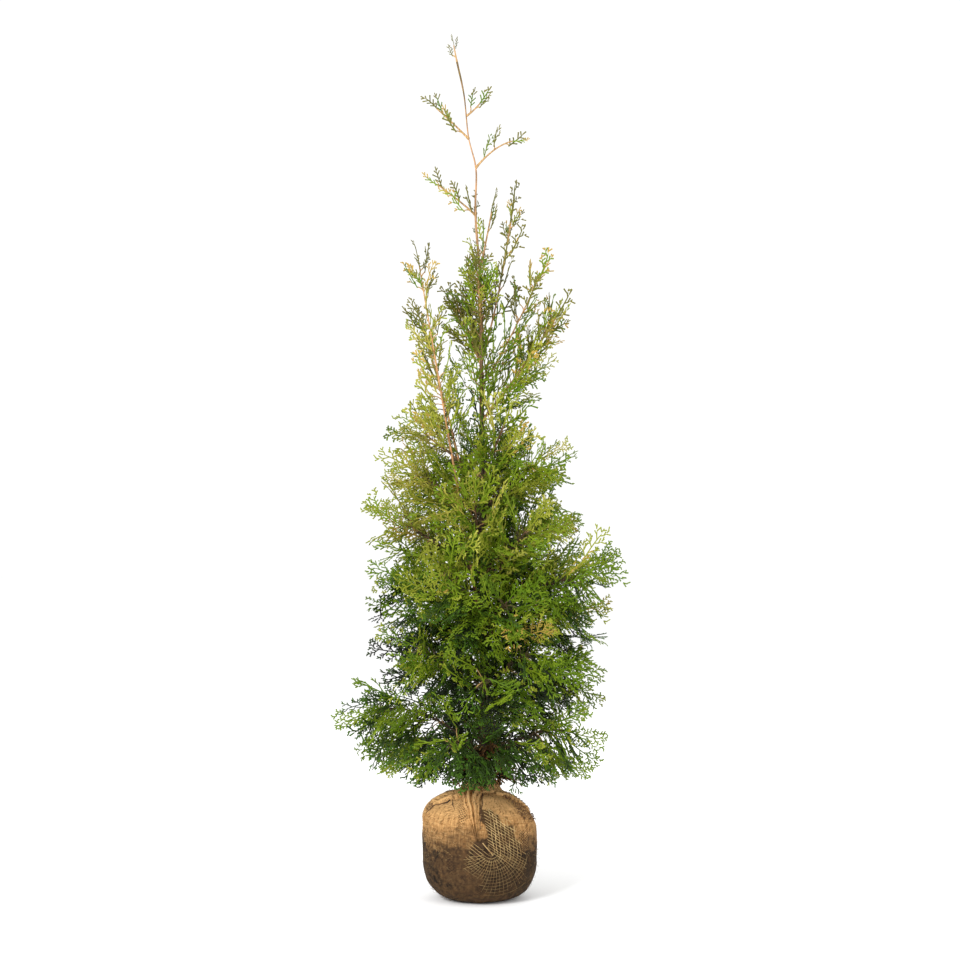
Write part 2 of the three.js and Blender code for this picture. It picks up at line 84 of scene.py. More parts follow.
def unit(v):
    return v / np.linalg.norm(v)


def lerp(a, b, share):
    return a + (b - a) * share


def drawn(span, draw):
    # a span is its start and its range
    return span[0] + span[1] * draw


def smooth(low, high, value):
    t = np.clip((value - low) / (high - low), 0, 1)
    return t * t * (3 - 2 * t)


def roughness(points, size, seed, depth):
    # slow solid noise at many points, about -1 to 1
    shift = Vector((seed * 7.3, seed * 3.1, seed * 5.7))
    return np.array([noise.fractal(Vector(p) / size + shift, 0.9, 2.0, depth) for p in points])


def placed(name, data):
    obj = bpy.data.objects.new(name, data)
    bpy.context.scene.collection.objects.link(obj)
    return obj


def meshPiece(name, points, faces=(), edges=(), shadeSmooth=True):
    mesh = bpy.data.meshes.new(name)
    mesh.from_pydata([tuple(p) for p in points], list(edges), [tuple(f) for f in faces])
    mesh.polygons.foreach_set("use_smooth", [shadeSmooth] * len(mesh.polygons))
    mesh.update()
    return placed(name, mesh)


def gridFaces(rows, columns, base=0, closed=True, ring=False, flip=False):
    # quads between rows of points, whose last column or row may join the first
    faces = []
    for i in range(rows if ring else rows - 1):
        a, b = base + i * columns, base + (i + 1) % rows * columns
        for j in range(columns if closed else columns - 1):
            k = (j + 1) % columns
            faces.append((a + j, b + j, b + k, a + k) if flip else (a + j, a + k, b + k, b + j))
    return faces


def faceCount(mesh):
    return sum(len(p.vertices) - 2 for p in mesh.polygons)


def addUv(obj, uvOfVertex, whole=None):
    # in metres along the cloth; whole is the length of a closed turn, whose last face meets the first
    layer = obj.data.uv_layers.new(name="cloth")
    index = np.zeros(len(obj.data.loops), np.int32)
    obj.data.loops.foreach_get("vertex_index", index)
    uv = np.asarray(uvOfVertex, np.float32)[index]
    for polygon in obj.data.polygons if whole else ():
        corners = list(polygon.loop_indices)
        if uv[corners, 0].max() - uv[corners, 0].min() > whole / 2:
            for corner in corners:
                if uv[corner, 0] < whole / 2:
                    uv[corner, 0] += whole
    layer.data.foreach_set("uv", uv.ravel())


def settle(obj, slotName, *nodes):
    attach(obj, "root")
    if nodes:
        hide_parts(*nodes)


def bakeNodes(obj):
    # the evaluated geometry becomes the object's own plain mesh
    graph = bpy.context.evaluated_depsgraph_get()
    mesh = bpy.data.meshes.new_from_object(obj.evaluated_get(graph), depsgraph=graph)
    obj.modifiers.clear()
    obj.data = mesh
    mesh.name = obj.name


# Node trees


class Signal:
    # a number in a shader tree, on which sums can be written

    def __init__(self, nodes, socket):
        self.nodes, self.socket = nodes, socket

    def math(self, operation, *others, clamp=False, flip=False):
        made = self.nodes.node("ShaderNodeMath", {"operation": operation, "use_clamp": clamp})
        for socket, value in zip(made.inputs, (*others, self) if flip else (self, *others)):
            self.nodes.feed(socket, value)
        return Signal(self.nodes, made.outputs[0])

    def held(self):
        return self.math("ADD", 0.0, clamp=True)

    def fromMiddle(self):
        # how far it is from the middle between two whole numbers
        return (self.math("FRACT") - 0.5).math("ABSOLUTE")

    def __add__(self, other):
        return self.math("ADD", other)

    def __mul__(self, other):
        return self.math("MULTIPLY", other)

    def __sub__(self, other):
        return self.math("SUBTRACT", other)

    def __rsub__(self, other):
        return self.math("SUBTRACT", other, flip=True)

    def __truediv__(self, other):
        return self.math("DIVIDE", other)

    __radd__, __rmul__ = __add__, __mul__


class Nodes:
    # builds a shader or a geometry tree

    def __init__(self, tree, shader=None):
        self.tree, self.shader = tree, shader

    def feed(self, socket, value):
        value = value.socket if isinstance(value, Signal) else value
        if isinstance(value, bpy.types.NodeSocket):
            self.tree.links.new(value, socket)
        else:
            socket.default_value = (*value, 1) if socket.type == "RGBA" else value

    def node(self, kind, settings=None, **inputs):
        # inputs are named by their place, as in_2, or by their label without spaces
        made = self.tree.nodes.new(kind)
        for key, value in (settings or {}).items():
            setattr(made, key, value)
        for key, value in inputs.items():
            self.feed(self.socketOf(made, key), value)
        return made

    def socketOf(self, made, key):
        if key.startswith("in_"):
            return made.inputs[int(key[3:])]
        return next(s for s in made.inputs if s.enabled and s.name.replace(" ", "") == key)

    def result(self, kind, settings=None, **inputs):
        return self.node(kind, settings, **inputs).outputs[0]

    def signal(self, socket):
        return Signal(self, socket)

    def mark(self, name, kind="FLOAT"):
        return self.result("GeometryNodeInputNamedAttribute", {"data_type": kind}, in_0=name)

    def painted(self, geometry, start, end):
        # ends a geometry tree with real faces in the input colour
        real = self.result("GeometryNodeRealizeInstances", in_0=geometry)
        self.feed(end[0], self.result("GeometryNodeSetMaterial", Geometry=real, Material=start["Colour"]))
        return self.tree

    def place(self):
        return self.node("ShaderNodeTexCoord").outputs["Object"]

    def part(self, vector, axis):
        return self.signal(self.node("ShaderNodeSeparateXYZ", in_0=vector).outputs[axis])

    def mask(self, name):
        return self.signal(self.node("ShaderNodeAttribute", {"attribute_name": name}).outputs[2])

    def grain(self, scale, detail, vector=None, roughness=0.5):
        return self.signal(self.result("ShaderNodeTexNoise", Vector=vector or self.place(), Scale=scale,
                                       Detail=detail, Roughness=roughness))

    def ramp(self, value, stops):
        made = self.node("ShaderNodeValToRGB", in_0=value)
        elements = made.color_ramp.elements
        while len(elements) < len(stops):
            elements.new(0.5)
        for element, (place, colour) in zip(elements, stops):
            element.position = place
            element.color = (*linear(*colour), 1)
        return made.outputs[0]

    def blend(self, share, first, second):
        return self.node("ShaderNodeMix", {"data_type": "RGBA", "clamp_factor": True},
                         in_0=share, in_6=first, in_7=second).outputs[2]

    def finish(self, colour, height=None, strength=0.0, distance=0.0):
        self.feed(self.shader.inputs["Base Color"], colour)
        if height:
            bump = self.result("ShaderNodeBump", Strength=strength, Distance=distance, Height=height)
            self.feed(self.shader.inputs["Normal"], bump)


def linear(*paint):
    # from the 0 to 255 numbers of a paint chart
    return tuple(c / 255 / 12.92 if c / 255 <= 0.04045 else ((c / 255 + 0.055) / 1.055) ** 2.4 for c in paint)


def newMaterial(name, **values):
    material = bpy.data.materials.new(name)
    material.use_nodes = True
    nodes = Nodes(material.node_tree, material.node_tree.nodes["Principled BSDF"])
    for key, value in values.items():
        nodes.feed(nodes.socketOf(nodes.shader, key), value)
    material.diffuse_color = nodes.shader.inputs["Base Color"].default_value
    return material, nodes


def grainedMaterial(name, dark, light, grain=(160.0, 4.0), gain=3.2, roughness=0.95):
    material, nodes = newMaterial(name, Roughness=roughness)
    share = ((nodes.grain(*grain) - 0.35) * gain).held()
    nodes.finish(nodes.blend(share, linear(*dark), linear(*light)))
    return material


def geometryTree(name, sockets):
    tree = bpy.data.node_groups.new(name, "GeometryNodeTree")
    for way in ("INPUT", "OUTPUT"):
        tree.interface.new_socket(name="Geometry", in_out=way, socket_type="NodeSocketGeometry")
    for label, kind, value in sockets:
        item = tree.interface.new_socket(name=label, in_out="INPUT", socket_type="NodeSocket" + kind)
        if value is not None:
            item.default_value = value
    nodes = Nodes(tree)
    return nodes, nodes.node("NodeGroupInput").outputs, nodes.node("NodeGroupOutput").inputs


def runTree(obj, tree, **values):
    modifier = obj.modifiers.new(tree.name, "NODES")
    modifier.node_group = tree
    for item in tree.interface.items_tree:
        if item.in_out == "INPUT" and item.name in values:
            modifier[item.identifier] = values[item.name]
    bakeNodes(obj)


# Camera, floor and light

studio = {
    "eye": (0.0, -4.0, 0.834), "lens": 75.0, "sensorWidth": 36, "clipEnd": 100,
    "floorColour": (0.95, 0.95, 0.95), "floorRadius": 14.0, "floorSides": 64,
    "worldColour": (1.0, 1.0, 1.0), "worldStrength": 1.06,
    # the lights' places, sizes and powers, and the point they face
    "lights": {"keyLight": ((-2.0, -3.0, 2.3), 1.3, 140.0), "fillLight": ((2.6, -1.8, 1.8), 2.2, 24.0),
               "backLight": ((0.6, 2.8, 2.8), 2.0, 20.0)},
    "aim": (0, 0, 0.8),
}


def makeStudio():
    camera = placed("camera", bpy.data.cameras.new("camera"))
    camera.data.lens = studio["lens"]
    camera.data.sensor_width = studio["sensorWidth"]
    camera.data.clip_end = studio["clipEnd"]
    camera.location = studio["eye"]
    camera.rotation_euler = (math.pi / 2, 0, 0)
    bpy.context.scene.camera = camera

    sides = studio["floorSides"]
    ring = [(math.cos(a) * studio["floorRadius"], math.sin(a) * studio["floorRadius"], 0.0)
            for a in np.linspace(0, math.tau, sides + 1)[:-1]]
    floor = meshPiece("floor", ring, [range(sides)], shadeSmooth=False)
    floor.data.materials.append(newMaterial("floorPaint", BaseColor=studio["floorColour"], Roughness=0.9)[0])
    floor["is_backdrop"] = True

    world = bpy.data.worlds.new("studioAir")
    world.use_nodes = True
    air = world.node_tree.nodes["Background"]
    air.inputs["Color"].default_value = (*studio["worldColour"], 1)
    air.inputs["Strength"].default_value = studio["worldStrength"]
    bpy.context.scene.world = world
    bpy.context.scene.view_settings.view_transform = "Standard"

    for name, (place, size, power) in studio["lights"].items():
        lamp = placed(name, bpy.data.lights.new(name, "AREA"))
        lamp.data.size = size
        lamp.data.energy = power
        lamp.location = place
        lamp.rotation_euler = (Vector(studio["aim"]) - Vector(place)).to_track_quat("-Z", "Y").to_euler()
        lamp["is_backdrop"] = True


makeStudio()
print("studio made")


# The rule that the plant grows by

trunk = {
    "line": [(6, 0, 206), (9, 4, 412), (4, -3, 692), (3, 2, 992), (1, 4, 1214), (-9, 0, 1364),
             (-8, -2, 1454), (-23, 0, 1520), (-32, 2, 1604), (-46, 0, 1670)],
    "footRadius": 12.5, "tipRadius": 1.3, "taperPower": 3.2, "flare": 7.0, "flareHeight": 14.0,
    "footHeight": 214.0,
}

# name, height of the foot on the trunk, turn, reach from the axis, rise to the tip, arch above a
# straight line, spread of its twigs, length of its sprays, share that is bare bough
branchTable = [
    ("skirt_left", 282, 187, 288, 66, 60, 70, 135, 0.25),
    ("skirt_back_left", 256, 148, 232, -14, 58, 70, 132, 0.25),
    ("skirt_back", 292, 98, 225, 30, 48, 70, 132, 0),
    ("skirt_back_right", 306, 36, 236, 84, 40, 70, 130, 0.25),
    ("skirt_right", 268, 354, 250, 46, 42, 70, 130, 0.25),
    ("skirt_front_right", 256, 306, 186, 26, 46, 66, 121, 0.2),
    ("skirt_front_left", 262, 240, 200, 26, 46, 66, 125, 0.2),
    ("lower_left", 396, 200, 212, 142, 18, 76, 141, 0.2),
    ("lower_back_left", 374, 132, 214, 120, 24, 76, 141, 0),
    ("lower_back_right", 412, 62, 210, 130, 24, 76, 141, 0),
    ("lower_right", 366, 10, 258, 78, 38, 76, 137, 0.2),
    ("lower_front_right", 406, 318, 204, 88, 36, 74, 135, 0.2),
    ("lower_front", 360, 272, 170, 84, 36, 74, 135, 0.2),
    ("middle_low_right", 470, 2, 262, 112, 24, 74, 135, 0),
    ("middle_right", 548, 347, 294, 102, 30, 76, 137, 0),
    ("middle_back_right", 532, 48, 222, 170, 20, 78, 139, 0),
    ("middle_back", 558, 104, 218, 170, 18, 78, 139, 0),
    ("middle_left", 500, 168, 226, 164, 16, 80, 141, 0),
    ("middle_front_left", 530, 236, 196, 170, 14, 78, 139, 0),
    ("middle_front", 492, 296, 186, 140, 20, 76, 135, 0),
    ("shoulder_right", 648, 16, 214, 116, 22, 74, 130, 0),
    ("shoulder_front_right", 608, 318, 184, 180, 10, 74, 132, 0),
    ("shoulder_back", 708, 80, 184, 180, 10, 74, 130, 0),
    ("shoulder_left", 636, 182, 226, 154, 10, 74, 135, 0),
    ("shoulder_front", 664, 262, 146, 190, 6, 70, 125, 0),
    ("upper_right", 772, 348, 182, 136, 10, 68, 123, 0),
    ("upper_left", 766, 194, 206, 122, 4, 68, 123, 0),
    ("upper_back", 838, 152, 190, 132, 0, 62, 112, 0),
    ("upper_front", 826, 302, 132, 170, 4, 60, 109, 0),
    ("coleader_left", 514, 213, 152, 788, 0, 42, 82, 0.45),
    ("coleader_outer", 664, 158, 142, 526, 34, 38, 78, 0.4),
    ("coleader_right", 1020, 350, 142, 272, -16, 44, 87, 0),
    ("coleader_top", 1076, 28, 84, 360, -40, 38, 75, 0.3),
    ("crown_right", 952, 354, 184, 256, -10, 48, 89, 0),
    ("crown_left", 1064, 140, 84, 168, 0, 42, 82, 0),
    ("crown_front", 1142, 262, 60, 150, 0, 36, 73, 0),
    ("twig_right", 1254, 60, 62, 170, -10, 32, 66, 0),
    ("twig_left", 1364, 183, 114, 78, 4, 26, 57, 0),
    ("twig_high_right", 1458, 356, 96, 54, 18, 24, 55, 0),
    ("twig_high_left", 1516, 174, 114, 86, 2, 28, 55, 0),
    ("twig_top", 1562, 22, 22, 56, -6, 22, 48, 0),
]

leaderTip = {"bend": (-51, 0, 1694), "end": (-56, 0, 1724), "foot": 1670, "spread": 14, "spray": 30}

twigRule = {
    "pitch": 25, "firstAt": 0.6, "lean": (46, 20), "rollStep": 2.4, "rollRange": 0.8,
    "swings": (0, 0.9, -0.9, 1.8, -1.8, 2.7), "length": 0.55, "narrowing": 0.5, "vary": (0.8, 0.4),
}
sprayRule = {
    "halfWidth": 0.33, "sink": 4, "endShare": 0.7, "narrowing": 0.36, "forward": 0.6,
    "lift": ((300, -0.25), (700, 0.4), (1200, 0.6), (1400, 1.1)), "lowest": 234,
    "roll": (0.6, 1.94), "rolls": (0, 0.8, -0.8, 1.57), "sizes": (1, 0.85, 0.7, 0.55), "vary": (0.8, 0.3),
    "testAlong": (0.3, 0.55, 0.8), "testAcross": (-1, -0.5, 0, 0.5, 1),
}
branchRadius = {"least": 1.4, "perLength": 0.0036, "tip": 1.2}
youngFrom = 900  # the height from which stems are young
neck = {"radius": 46, "top": 242, "collarTop": 232}  # kept free of sprays
frontLimit = -188  # the depth of the crown before the trunk
spaceMargin = 1.3
segmentsPerStem = 12

# The same rule again at a finer pitch: shorter twigs with smaller sprays between the first ones.
finerTwigs = [
    {"perPitch": 3.2, "twig": 1.05, "spray": 0.95, "drawFrom": 100, "overlap": 40, "nod": 0.3,
     "swings": (0, 1.3, -1.3, 2.4)},
    {"perPitch": 4.4, "twig": 0.62, "spray": 0.7, "drawFrom": 300, "overlap": 70, "nod": 0.5,
     "swings": (0, 1.3, -1.3)},
]
# how far finer sprays rise or hang, by height, and how many turn their flat side outwards
finerHang = {
    "lift": ((300, -0.75), (620, -0.6), (860, -0.05), (1100, 0.55)), "liftRange": 0.9, "faceOut": 0.84,
    "tiltUp": 0.35, "forward": 0.3, "rollRange": 1.1, "nodding": (300, 640), "sizes": (1, 0.75),
    "rolls": (0, 0.5), "varyTwig": (0.6, 0.6), "varySpray": (0.8, 0.35),
}
# the crown is open towards its top
openTop = {"share": 0.78, "heights": (790, 1060), "coleaders": 0.5, "crown": 0.15}
# short shoots stand along the trunk and close the crown round it
trunkShoots = {
    "from": 262, "to": 1345, "pitches": (2.2, 6.0), "bare": (880, 946), "lean": (24, 66), "twig": (22, 74),
    "spray": (56, 104), "narrowing": (700, 1290), "forward": 0.8, "rollRange": 1.6,
}


def chance(branch, twig, draw):
    value = math.sin(branch * 12.9898 + twig * 78.233 + draw * 37.719) * 43758.5453
    return value - math.floor(value)


class TrunkLine:
    def __init__(self, points):
        self.points = np.array(points, float)

    def point(self, share):
        last = len(self.points) - 1
        index = min(int(share * last), last - 1)
        t = share * last - index
        p1, p2 = self.points[index], self.points[index + 1]
        p0 = self.points[index - 1] if index > 0 else 2 * p1 - p2
        p3 = self.points[index + 2] if index + 2 <= last else 2 * p2 - p1
        t0, t1 = 0.5 * (p2 - p0), 0.5 * (p3 - p1)
        return p1 + t0 * t + (3 * (p2 - p1) - 2 * t0 - t1) * t ** 2 + (2 * (p1 - p2) + t0 + t1) * t ** 3

    def tangent(self, share):
        return unit(self.point(min(1, share + 1e-4)) - self.point(max(0, share - 1e-4)))

    def shareAt(self, z):
        low, high = 0.0, 1.0
        for _ in range(40):
            middle = (low + high) / 2
            if self.point(middle)[2] < z:
                low = middle
            else:
                high = middle
        return (low + high) / 2


class BranchLine:
    def __init__(self, first, bend, last):
        self.first, self.bend, self.last = (np.array(p, float) for p in (first, bend, last))

    def point(self, t):
        return (1 - t) ** 2 * self.first + 2 * t * (1 - t) * self.bend + t ** 2 * self.last

    def tangent(self, t):
        return unit((1 - t) * (self.bend - self.first) + t * (self.last - self.bend))

    def length(self):
        points = np.array([self.point(t) for t in np.linspace(0, 1, 201)])
        return np.linalg.norm(np.diff(points, axis=0), axis=1).sum()


class Branch:
    def __init__(self, number, name, line, foot, spread, spray, bare, root=None):
        self.number, self.name, self.line, self.foot = number, name, line, foot
        self.spread, self.spray, self.bare = spread, spray, bare
        self.length = line.length()
        self.root = root or branchRadius["least"] + branchRadius["perLength"] * self.length
        self.stemEnd = 1 - sprayRule["endShare"] * spray / self.length
        self.twigCount = max(2, round((self.stemEnd - bare) * self.length / twigRule["pitch"]))
        self.young = name.startswith("coleader") or foot > youngFrom


trunkLine = TrunkLine(trunk["line"])


def trunkRadius(share):
    risen = trunkLine.point(share)[2] - trunk["footHeight"]
    taper = (trunk["footRadius"] - trunk["tipRadius"]) * (1 - share) ** trunk["taperPower"]
    return trunk["tipRadius"] + taper + trunk["flare"] * math.exp(-risen / trunk["flareHeight"])


def makeBranches():
    made = []
    for name, foot, turn, reach, rise, arch, *rest in branchTable:
        first = trunkLine.point(trunkLine.shareAt(foot))
        angle = math.radians(turn)
        last = np.array([math.cos(angle) * reach, math.sin(angle) * reach, foot + rise])
        line = BranchLine(first, (first + last) / 2 + up * 2 * arch, last)
        made.append(Branch(len(made), name, line, foot, *rest))
    tip = BranchLine(trunkLine.point(1), leaderTip["bend"], leaderTip["end"])
    made.append(Branch(len(made), "leader_tip", tip, leaderTip["foot"], leaderTip["spread"],
                       leaderTip["spray"], 0, trunk["tipRadius"]))
    return made


branches = makeBranches()
stemPoints = np.array([[b.line.point(lerp(b.bare, 1, i / segmentsPerStem)) for i in range(segmentsPerStem + 1)]
                       for b in branches])
stemStart = stemPoints[:, :-1].reshape(-1, 3)
stemWay = (stemPoints[:, 1:] - stemPoints[:, :-1]).reshape(-1, 3)
stemWaySquared = (stemWay ** 2).sum(1)


def distanceToStems(points):
    away = points[:, None, :] - stemStart[None]
    share = np.clip((away * stemWay).sum(2) / stemWaySquared, 0, 1)
    gap = np.linalg.norm(away - share[..., None] * stemWay, axis=2)
    return gap.reshape(len(points), len(branches), segmentsPerStem).min(2)


def frameAt(tangent):
    reference = np.array([0.0, 1.0, 0.0]) if abs(tangent[2]) > 0.93 else up
    level = unit(np.cross(reference, tangent))
    return level, np.cross(tangent, level)


def leaning(tangent, lean, roll):
    level, rising = frameAt(tangent)
    return tangent * math.cos(lean) + (level * math.cos(roll) + rising * math.sin(roll)) * math.sin(lean)


def sprayEnvelope(share):
    return math.sin(math.pi * (0.22 + 0.62 * share))


def riseAt(table, height):
    # low sprays nod and high ones rise
    return np.interp(height, *zip(*table))


def twigOn(branch, twig, count, swing, finer=None):
    drawAt = twig + (finer["drawFrom"] if finer else 0)
    draw = lambda n: chance(branch.number, drawAt, n)
    along = (twig + twigRule["firstAt"]) / (count + 0.2)
    share = lerp(branch.bare, branch.stemEnd, along)
    root, tangent = branch.line.point(share), branch.line.tangent(share)
    turn = drawAt * twigRule["rollStep"] + (draw(1) - 0.5) * twigRule["rollRange"] + branch.number + swing
    direction = leaning(tangent, math.radians(drawn(twigRule["lean"], draw(2))), turn)
    length = twigRule["length"] * branch.spread * (1 - twigRule["narrowing"] * along)
    length *= drawn(twigRule["vary"], draw(3))
    spray = branch.spray * (1 - sprayRule["narrowing"] * along) * drawn(sprayRule["vary"], draw(4))
    made = {"root": root, "tangent": tangent, "draw": draw(8)}
    if finer:
        length *= finer["twig"] * drawn(finerHang["varyTwig"], draw(6))
        spray *= finer["spray"] * drawn(finerHang["varySpray"], draw(7))
        direction = unit(direction - up * finer["nod"] * (1 - smooth(*finerHang["nodding"], root[2])))
        made.update(roll=(draw(5) - 0.5) * finerHang["rollRange"], facesOut=draw(10) < finerHang["faceOut"],
                    lift=(draw(9) - 0.5) * finerHang["liftRange"])
    else:
        made["roll"] = drawn(sprayRule["roll"], draw(5))
    forward = (finerHang if finer else sprayRule)["forward"]
    return {**made, "joint": root + direction * length, "forward": unit(direction + tangent * forward),
            "length": spray}


def sprayFrom(twig, turned, size):
    joint = twig["joint"]
    if "lift" in twig:
        rise = riseAt(finerHang["lift"], joint[2]) + twig["lift"]
    else:
        rise = riseAt(sprayRule["lift"], joint[2])
    along = unit(twig["forward"] + up * rise)
    level, rising = frameAt(along)
    if twig.get("facesOut"):
        outwards = unit(np.array([joint[0], joint[1], 0.0])) + up * finerHang["tiltUp"]
        level = unit(np.cross(outwards, along))
        rising = np.cross(along, level)
    roll = twig["roll"] + turned
    across = level * math.cos(roll) + rising * math.sin(roll)
    return {**twig, "along": along, "across": across, "length": twig["length"] * size}


def isFree(branch, spray, overlap=0.0):
    joint, along, across, length = spray["joint"], spray["along"], spray["across"], spray["length"]
    points = [(spray["root"] + joint) / 2, joint, joint + along * length]
    for share in sprayRule["testAlong"]:
        half = sprayRule["halfWidth"] * length * sprayEnvelope(share)
        points += [joint + along * length * share + across * side * half for side in sprayRule["testAcross"]]
    points = np.array(points)
    outer = points[1:]
    inNeck = (np.hypot(outer[:, 0], outer[:, 1]) < neck["radius"]) & (outer[:, 2] < neck["top"])
    if outer[:, 2].min() < sprayRule["lowest"] or inNeck.any():
        return False
    if branch is None:
        return True
    gaps = distanceToStems(points)
    own = gaps[:, branch.number] + spaceMargin - overlap
    gaps[:, branch.number] = np.inf
    return bool((gaps.min(1) > own).all())


def sprayEdges(spray):
    middle = spray["joint"] + spray["along"] * spray["length"] * 0.55
    half = spray["across"] * (sprayRule["halfWidth"] * spray["length"] * 0.9)
    return [spray["joint"] + spray["along"] * spray["length"], middle + half, middle - half]


class Outline:
    # how far out the first sprays reach, by turn and height, so that finer ones stay within them
    turns, heights, rowHeight, slack = 24, 34, 52, 6.0

    def __init__(self, first):
        self.table = np.zeros((self.turns, self.heights))
        for spray in first:
            for point in sprayEdges(spray):
                i, j, out = self.cell(point)
                for di, dj in itertools.product((-1, 0, 1), repeat=2):
                    cell = ((i + di) % self.turns, min(self.heights - 1, max(0, j + dj)))
                    self.table[cell] = max(self.table[cell], out)

    def cell(self, point):
        turn = math.atan2(point[1], point[0]) % math.tau
        row = int(np.clip(point[2] / self.rowHeight, 0, self.heights - 1))
        return int(turn / math.tau * self.turns) % self.turns, row, math.hypot(point[0], point[1])

    def holds(self, spray):
        cells = [self.cell(point) for point in sprayEdges(spray)]
        return all(out <= self.table[i, j] + self.slack for i, j, out in cells)


def isInTheWay(spray):
    # the gathered cloth stays in sight from the front, and the front keeps its depth
    edges = np.array(sprayEdges(spray))
    overCollar = edges[:, 2].min() < neck["collarTop"] and abs(edges[:, 0].mean()) < neck["radius"]
    return overCollar and edges[:, 1].mean() < 0 or edges[:, 1].min() < frontLimit


def growCrown():
    grown = []

    def addSpray(branch, twigs, rule, order, overlap=0.0):
        for size, twig, turned in itertools.product(rule["sizes"], twigs, rule["rolls"]):
            spray = sprayFrom(twig, turned, size)
            if order and (not outline.holds(spray) or isInTheWay(spray)):
                continue
            if isFree(branch, spray, overlap):
                grown.append({**spray, "branch": branch, "order": order})
                return

    for branch in branches:
        joint = branch.line.point(branch.stemEnd)
        reach = branch.line.point(1) - joint
        end = {"root": branch.line.point(branch.stemEnd - sprayRule["sink"] / branch.length), "joint": joint,
               "tangent": branch.line.tangent(branch.stemEnd), "length": np.linalg.norm(reach),
               "forward": unit(reach) - up * riseAt(sprayRule["lift"], joint[2]),
               "roll": drawn(sprayRule["roll"], chance(branch.number, 0, 9)),
               "draw": chance(branch.number, 0, 8)}
        addSpray(branch, [end], sprayRule, 0)
        for twig in range(branch.twigCount):
            swung = [twigOn(branch, twig, branch.twigCount, swing) for swing in twigRule["swings"]]
            addSpray(branch, swung, sprayRule, 0)
    outline = Outline(grown)
    for branch in branches:
        if branch.name.startswith(("twig", "leader")):
            continue
        for order, finer in enumerate(finerTwigs, 1):
            count = round(branch.twigCount * finer["perPitch"])
            for twig in range(count):
                height = branch.line.point(lerp(branch.bare, branch.stemEnd, twig / count))[2]
                skipped = openTop["share"] * smooth(*openTop["heights"], height)
                if branch.name.startswith("coleader"):
                    skipped = max(skipped, openTop["coleaders"])
                elif branch.name.startswith("crown"):
                    skipped *= openTop["crown"]
                if chance(branch.number, twig, 20 + order) >= skipped:
                    swung = [twigOn(branch, twig, count, swing, finer) for swing in finer["swings"]]
                    addSpray(branch, swung, finerHang, order, finer["overlap"])
    return grown + growShoots(outline)


def growShoots(outline):
    shoots = trunkShoots
    grown = []
    height = shoots["from"]
    i = 0
    while height < shoots["to"]:
        draw = lambda n: chance(77, i, n)
        i += 1
        height += lerp(*shoots["pitches"], smooth(450, 1000, height)) + 15 * smooth(1060, 1290, height)
        share = trunkLine.shareAt(height)
        root, tangent = trunkLine.point(share), trunkLine.tangent(share)
        direction = leaning(tangent, math.radians(lerp(*shoots["lean"], draw(2))), i * 2.4 + draw(3))
        high = smooth(*shoots["narrowing"], height)
        twig = {"root": root, "tangent": tangent, "draw": draw(8),
                "joint": root + direction * (lerp(*shoots["twig"], draw(4)) * (1 - 0.55 * high)),
                "forward": unit(direction + tangent * shoots["forward"]),
                "roll": (draw(5) - 0.5) * shoots["rollRange"],
                "lift": (draw(9) - 0.5) * finerHang["liftRange"], "facesOut": True,
                "length": lerp(*shoots["spray"], draw(6)) * (1 - 0.35 * high)}
        nearest = int(distanceToStems(np.array([twig["joint"]]))[0].argmin())
        spray = sprayFrom(twig, 0, 1)
        isBare = shoots["bare"][0] < height < shoots["bare"][1] and spray["along"][1] < 0.4
        if isFree(None, spray) and outline.holds(spray) and not isBare:
            grown.append({**spray, "branch": branches[nearest], "order": 1})
    return grown


sprays = growCrown()
print("crown grown:", len(sprays), "sprays")


# Spray shapes: a rib, side feathers in turn left and right, and the scale leaves along them

sprayShape = {
    "sizes": {"long": 132, "middle": 96, "short": 62, "tiny": 40},
    "firstAt": 0.08, "angle": (52, 38), "reach": 0.29, "tilt": 0.22, "nod": 0.16,
    "leafPitch": 4.6, "leastFeather": 17.0, "forkFrom": 30.0,
    "scaleWidth": 3.3, "ribWidth": 3.0, "featherWidth": 2.8, "thickness": 1.5, "tipShare": 0.6,
    "ribPoints": 40, "ribSteps": 7, "seed": 40,
}
# open sprays with long strokes, and plumes with many short ones
sprayForms = {
    "antler": {"variants": 3, "featherPitch": (15.0, 8.5), "scalePitch": 6.4, "scaleLength": 12.5,
               "scaleAngle": 40, "firstScale": 0.34, "fork": 0.5},
    "plume": {"variants": 3, "featherPitch": (12.5, 8.0), "scalePitch": 3.9, "scaleLength": 8.6,
              "scaleAngle": 50, "firstScale": 0.16, "fork": 0.0},
}


